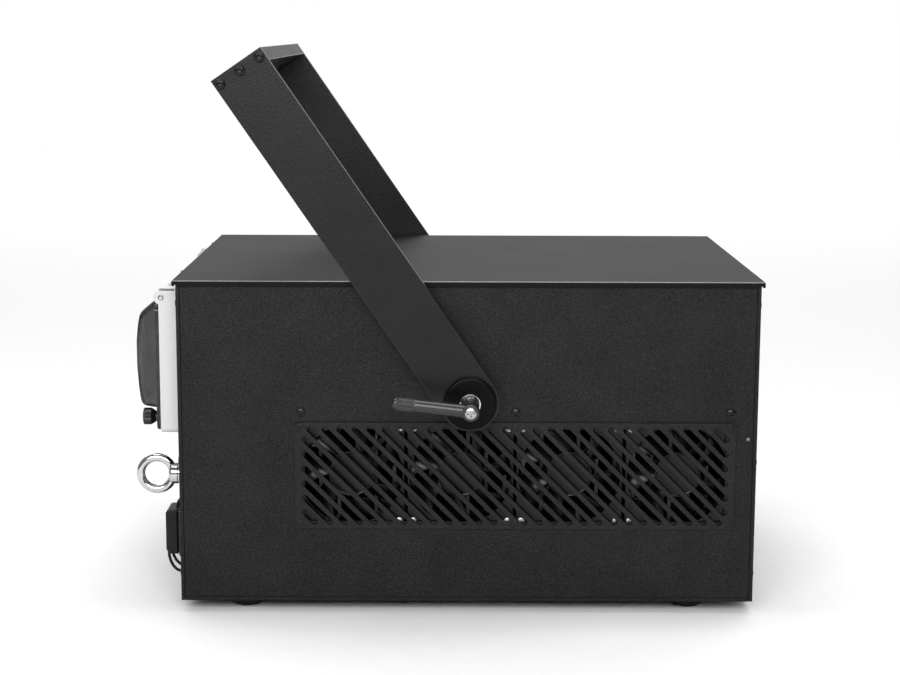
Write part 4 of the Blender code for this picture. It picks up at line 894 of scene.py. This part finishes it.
def thumb_screw():
    """Knurled thumb screw with a cone under its grip."""
    neck = 0.0035 + 0.0032
    grip = neck + 0.0040
    end = grip + 0.0072
    head = 0.0075

    def reach(angle, height, size):
        if height < grip - 0.0001 or height > end - 0.0006:
            return size
        return size - 0.00045 * (0.5 - 0.5 * math.cos(30 * angle))

    shank = [(-0.0063, 0), (-0.0063, 0.0027), (-0.0058, 0.0030), (0.0038, 0.0030), (0.0038, 0.0045)]
    cone = [(neck, 0.0045), (neck + 0.0003, 0.0050), (grip - 0.0003, head - 0.0004), (grip, head - 0.0002)]
    sides = [(grip + 0.0004, head), (grip + 0.0036, head), (end - 0.0010, head)]
    tip = [(end - 0.0004, head - 0.0003), (end, head - 0.0012)]
    tip += [(end - 0.0003, head - 0.0026), (end - 0.0003, 0)]
    return formed(shank + cone + sides + tip, reach, 180)


def eye_bolt():
    """Polished ring on a collar with a shank."""
    wire, ring = 0.0075, 0.036
    radius = (ring - wire) / 2
    loops = []
    for step in range(96):
        angle = 2 * math.pi * step / 96
        across, up = math.cos(angle), math.sin(angle)
        loops.append([((radius + x) * across, y, (radius + x) * up) for x, y in circle(wire, 32)])
    torus = moved(loft(loops, ring=True), at(0, 0, 0.005 + ring / 2), turn(90, "Z"))
    stem = turned(
        eased(
            [
                (0, -0.016), (0.004, -0.016, 0.0006), (0.004, SEAT, 0), (0.0092, SEAT, 0.0004),
                (0.0092, 0.0030, 0.0006), (0.0088, 0.0036, 0.0004), (0.0092, 0.0042, 0.0006),
                (0.0092, 0.0100, 0.0012), (0.0076, 0.0118, 0.0012), (0, 0.0118),
            ],
            0.0004, 5,
        ),
        64,
    )
    shape = moved(joined(stem, torus), TO_REAR, at(-HALF_LENGTH, -EYE_Y, EYE_Z), CASE)
    piece("safety_eye", shape, STEEL, "case", ["eye_bolt"], 40)


def sockets():
    """Panel sockets and the rubber caps on their tethers."""
    thick = 0.0042
    for word, side in (("power", -1), ("signal", 1)):
        place = (TO_REAR, at(-HALF_LENGTH, side * SOCKET_Y, SOCKET_Z), CASE)
        flange = prism(rounded(0.034, 0.044, 0.0042), thick - SEAT, 0.0006, [circle(SOCKET_MOUTH, 48)])
        moved(flange, at(0, 0, SEAT))
        floor = thick - 0.022
        inner = floor - PLATE
        mouth = SOCKET_MOUTH / 2
        profile = [(0, inner), (0.012, inner), (0.012, thick / 2)]
        barrel = turned(profile + [(mouth, thick / 2), (mouth, floor), (0, floor)], 48)
        pins = []
        for number in range(3):
            pin = peg(0.0011, 0.009, 20, 0.0006)
            angle = math.radians(90 + 120 * number)
            pins.append(moved(pin, at(0.0045 * math.cos(angle), 0.0045 * math.sin(angle), floor - 0.0002)))
        inlet = moved(joined(flange, barrel), *place)
        piece(f"{word}_inlet", inlet, PLASTIC, "case", [f"{word}_socket"])
        piece(f"{word}_pins", moved(gathered(*pins), *place), STEEL, "case")
        root = SOCKET_Z - CAP_HEIGHT / 2 - 0.0195 + TETHER
        cap = moved(socket_cap(), at(-HALF_LENGTH - CAP_DEPTH, side * SOCKET_Y, root), CASE)
        piece(f"{word}_cover", cap, RUBBER, f"cap_{word}", [f"{word}_cap"])


def socket_cap():
    """Rubber cap with a pull tab and two tethers that curl back to the panel."""
    chamfer = 0.004
    near, far = 0.0048 - CAP_DEPTH, 0.0158 - CAP_DEPTH
    low, high = 0.0182, 0.0182 + CAP_HEIGHT
    view = [
        (near, low), (far - chamfer, low), (far, low + chamfer),
        (far, high - chamfer / 2), (far - chamfer / 2, high), (near, high),
    ]
    shape = moved(prism(eased(view, 0.0012, 4, True), 0.030, 0.0016, (), 4), at(0, 0, -0.015))
    tab = [(near, high - chamfer), (near + chamfer, high - chamfer)]
    tab += [(near + 0.0020, high + 0.0062), (near, high + 0.0062)]
    shape = joined(shape, moved(prism(eased(tab, 0.0007, 3, True), 0.010, 0.0006), at(0, 0, -0.005)))
    reach = far - SEAT - CAP_DEPTH / 2
    path = [(reach, low + 0.0060), (reach, low + TETHER)]
    for step in range(1, 13):
        angle = math.pi / 2 * step / 12
        path.append((reach * math.cos(angle), low + TETHER - low * math.sin(angle)))
    path[-1] = (TETHER, path[-1][1])
    for side in (-1, 1):
        shape = joined(shape, tube([(x, y, side * 0.009) for x, y in path], TETHER, 16))
    upright = Matrix(((-1, 0, 0, 0), (0, 0, 1, 0), (0, 1, 0, 0), (0, 0, 0, 1)))
    return moved(shape, upright)


def feet():
    """Round rubber feet with a screw sunk in each."""
    sunk = -0.0062
    profile = [
        (0, sunk), (0.0060, sunk, 0.0004), (0.0066, -FOOT_HEIGHT, 0.0010), (0.0132, -FOOT_HEIGHT, 0.0016),
        (0.0156, -0.0072, 0.0012), (0.016, -SEAT, 0.0006), (0, -SEAT),
    ]
    for number, (x, y) in enumerate(((1, 1), (-1, 1), (-1, -1), (1, -1)), 1):
        place = (at(x * (HALF_LENGTH - FOOT_INSET_X), y * (HALF_WIDTH - FOOT_INSET_Y)), CASE)
        foot = moved(turned(eased(profile, 0.0004, 4), 64), *place)
        piece(f"foot_{number}", foot, RUBBER, "case", [f"rubber_foot_{number}"])
        head = moved(screw_head(*FOOT_HEAD), DOWN, at(0, 0, sunk), *place)
        piece(f"foot_screw_{number}", head, PLATED, "case", (), 40)


def controls():
    """Control plate behind the window, with its screen, knob, key and rocker."""
    face = at(-HALF_LENGTH - SEAT, 0, COVER_Z)
    width, height = COVER_WIDTH - COVER_SIDES - 0.004, COVER_HEIGHT - COVER_ENDS - 0.004
    knob_hole = circle(0.0077, 32, (KNOB_Y, 0))
    key_hole = circle(0.0088, 32, (KEY_Y, 0))
    rocker_hole = rounded(0.0176, 0.027, 0.0006, 2, (ROCKER_Y, 0))
    screen_view = rounded(0.078, 0.032, 0.0010, 3, (SCREEN_Y, 0))
    sheet = prism(rounded(width, height, 0.004), 0.002, 0.0003, [knob_hole, key_hole, rocker_hole])
    bezel = prism(rounded(0.090, 0.044, 0.002, 4, (SCREEN_Y, 0)), 0.005, 0.0008, [screen_view])
    lock = eased([(0.0044, 0.001), (0.009, 0.001), (0.009, 0.010, 0.0010), (0.0044, 0.010)], 0.0003, 4, True)
    lock = moved(turned(lock, 48, ring=True), at(KEY_Y))
    rim = prism(rounded(0.023, 0.031, 0.0016, 4, (ROCKER_Y, 0)), 0.004, 0.0006, [rocker_hole])
    shape = joined(sheet, moved(bezel, at(0, 0, 0.001)), lock, moved(rim, at(0, 0, 0.001)))
    moved(shape, TO_REAR, face, CASE)
    piece("control_face", shape, GRILLE_PAINT, "case", ["control_plate"])
    screen = moved(prism(screen_view, 0.0026, 0.0002), at(0, 0, 0.0015))
    piece("screen", moved(screen, TO_REAR, face, CASE), SCREEN, "case")

    def knob_reach(angle, height, size):
        if 0.004 < height < 0.0150:
            return size - 0.0006 * (0.5 - 0.5 * math.cos(18 * angle))
        return size

    rings = [(SEAT, 0), (SEAT, 0.0033), (0.0025, 0.0033), (0.0025, 0.0095), (0.0030, 0.0100)]
    rings += [(0.0045, 0.0099), (0.0090, 0.0095), (0.0145, 0.0090), (0.0155, 0.0088), (0.0163, 0.0080)]
    rings += [(0.0165, 0.0070), (0.0161, 0.0055), (0.0161, 0)]
    knob = moved(formed(rings, knob_reach, 144), TO_REAR, at(0, -KNOB_Y), face, CASE)
    piece("menu_dial", knob, PLASTIC, "knob", ["menu_knob"], 28)
    low = 0.0105 + 0.0075
    ring_hole = circle(0.0045, 24, (0, low + 0.0050))
    bow = prism(round_ended((0, low), (0, low + 0.00375), 0.015, 24), 0.002, 0.0004, [ring_hole])
    moved(bow, turn(90, "X"), at(0, 0.001))
    stem = moved(prism(rounded(0.0062, 0.0018, 0.0004, 3), 0.008, 0.0002), at(0, 0, 0.006))
    plug = turned(eased([(0, 0), (0.0039, 0), (0.0039, 0.0095, 0.0006), (0, 0.0095)], 0.0004), 40)
    key = moved(joined(plug, stem, bow), at(0, 0, SEAT), TO_REAR, at(0, -KEY_Y), face, CASE)
    piece("lock_key", key, STEEL, "key_switch", ["key"])
    dip = []
    for step in range(13):
        y = -0.0125 + 0.025 * step / 12
        dip.append((y, 0.0030 - 0.0012 * (1 - (y / 0.0125) ** 2)))
    side_view = [(0.0125, -0.003), (-0.0125, -0.003)] + dip
    rocker = moved(prism(side_view, 0.017, 0.0005, (), 3), at(0, 0, -0.0085), turn(90, "Z"), turn(90, "Y"))
    moved(rocker, TO_REAR, face, at(-0.005, -ROCKER_Y), CASE)
    piece("rocker_key", rocker, PLASTIC, "rocker", ["power_rocker"])


def front():
    """Pane and bezel of the output window."""
    place = (TO_FRONT, at(HALF_LENGTH, 0, WINDOW_Z), CASE)
    pane = moved(prism(rounded(*OUTPUT_PANE, 0.0008, 2), PLATE, 0.0002), at(0, 0, -PLATE), *place)
    piece("output_pane", pane, CLEAR, "case", ["output_window"])
    bezel = prism(rounded(*BEZEL_SIZE, 0.006), 0.003, 0.0008, [rounded(*BEZEL_VIEW, 0.003)], 3)
    moved(bezel, at(0, 0, SEAT), *place)
    piece("output_bezel", bezel, GRILLE_PAINT, "case", ["window_bezel"])


def small_screws():
    """Fasteners that hold the case together."""
    for word, side, to_side in SIDES:
        beside = side * (HALF_WIDTH + 0.0001)
        places = [(to_side, at(x, beside, BENCH_Z), CASE) for x in (-0.144, 0.0414, 0.2268)]
        screws(f"bench_screws_{word}", BENCH_HEAD, places)
        places = [(DOWN, at(x, side * 0.167, -0.0001), CASE) for x in (-0.226, 0, 0.226)]
        screws(f"base_screws_{word}", BASE_HEAD, places)
    for word, end, to_end in (("front", 1, TO_FRONT), ("rear", -1, TO_REAR)):
        spots = [(y, z) for y in (-0.1675, 0.1675) for z in (0.024, 0.124, 0.262)]
        places = [(to_end, at(end * HALF_LENGTH, *spot), CASE) for spot in spots]
        screws(f"panel_screws_{word}", PANEL_HEAD, places)
    lip, high = -HALF_LENGTH - LID_OVERHANG, CASE_HEIGHT - 0.0026
    places = [(TO_REAR, at(lip, y, high), CASE) for y in (-0.110, 0.110)]
    screws("lip_screws", LIP_HEAD, places)
    out = HALF_LENGTH + SEAT + 0.0017
    spots = [(y, WINDOW_Z + z) for z in (-0.036, 0.036) for y in (-0.046, 0.046)]
    screws("bezel_screws", BEZEL_HEAD, [(TO_FRONT, at(out, *spot), CASE) for spot in spots])


def outlet_filter():
    """Foam sheet in the left panel's opening, behind its grille."""
    spare = 0.0008
    length, height = SIDE_OPENING
    foam = prism(rounded(length - spare, height - spare, 0.0036), 0.0022, 0.0004)
    moved(foam, TO_LEFT, at(FAN_X, HALF_WIDTH - PLATE + 0.0003, FAN_Z), CASE)
    piece("outlet_filter", foam, FOAM, "case")


def floor_and_light():
    shape = bmesh.new()
    bmesh.ops.create_grid(shape, x_segments=8, y_segments=8, size=6)
    floor = as_object(shape, "floor")
    pale = ((0.80, 0.80, 0.80), (0.82, 0.82, 0.82))
    floor.data.materials.append(grain("floor_paper", pale, (0.85, 0.92), (60, 0.02), 2))
    world = bpy.data.worlds.new("studio")
    bpy.context.scene.world = world
    world.use_nodes = True
    nodes = world.node_tree.nodes
    backdrop = preset(nodes["Background"], Color=(1, 1, 1, 1))
    split = nodes.new("ShaderNodeSeparateXYZ")
    link(nodes.new("ShaderNodeTexCoord"), "Generated", split, "Vector")
    fade = nodes.new("ShaderNodeMapRange")
    fade.interpolation_type = "SMOOTHSTEP"
    preset(fade, From_Min=0.1, From_Max=0.7, To_Min=0.24, To_Max=1.0)
    link(split, "Y", fade, "Value")
    link(fade, "Result", backdrop, "Strength")
    bpy.context.scene.view_settings.view_transform = "Standard"
    for name, place, size, power, target in (
        ("overhead", (0.0, -0.10, 1.75), (1.6, 0.5), 17, (0.0, -0.10, 0)),
        ("backdrop_fill", (0.0, 5.0, 3.5), (9.0, 6.0), 270, (0, 5.0, 0)),
        ("front", (-0.3, -2.1, 1.20), (2.2, 1.0), 54, (-0.1, 0, 0.45)),
    ):
        light = bpy.data.lights.new(name, "AREA")
        light.shape = "RECTANGLE"
        light.size, light.size_y = size
        light.energy = power
        holder = placed(name, light)
        holder.location = place
        holder.rotation_euler = (Vector(target) - Vector(place)).to_track_quat("-Z", "Y").to_euler()


def camera():
    lens = bpy.data.cameras.new("camera")
    lens.sensor_width = SENSOR
    lens.lens = LENS
    lens.clip_start = 0.1
    holder = placed("camera", lens)
    heading, pitch, roll = turn(CAMERA_HEADING, "Z"), turn(CAMERA_PITCH, "X"), turn(CAMERA_ROLL, "Z")
    holder.matrix_world = at(*CAMERA_PLACE) @ heading @ pitch @ roll
    bpy.context.scene.camera = holder


def inner_finishes():
    """Materials of the solids that stay as they are."""
    kept = {
        PLATED: ("front_frame", "rear_frame", "power_supply"),
        ALUMINIUM: (
            "optical_bench", "laser_module_red", "laser_module_green", "laser_module_blue",
            "beam_combiner", "scanner_block",
        ),
        SINK: ("heat_sink",),
        MIRROR: ("scan_mirror_x", "scan_mirror_y"),
        BOARD: ("control_board",),
    }
    for surface, names in kept.items():
        for name in names:
            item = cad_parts[name]
            for place in item.material_slots:
                place.material = surface


camera()
floor_and_light()
inner_finishes()
case_plates()
lid()
grilles()
fans()
yoke()
pivots()
cover_frame()
cover_window()
eye_bolt()
sockets()
feet()
controls()
front()
small_screws()
outlet_filter()
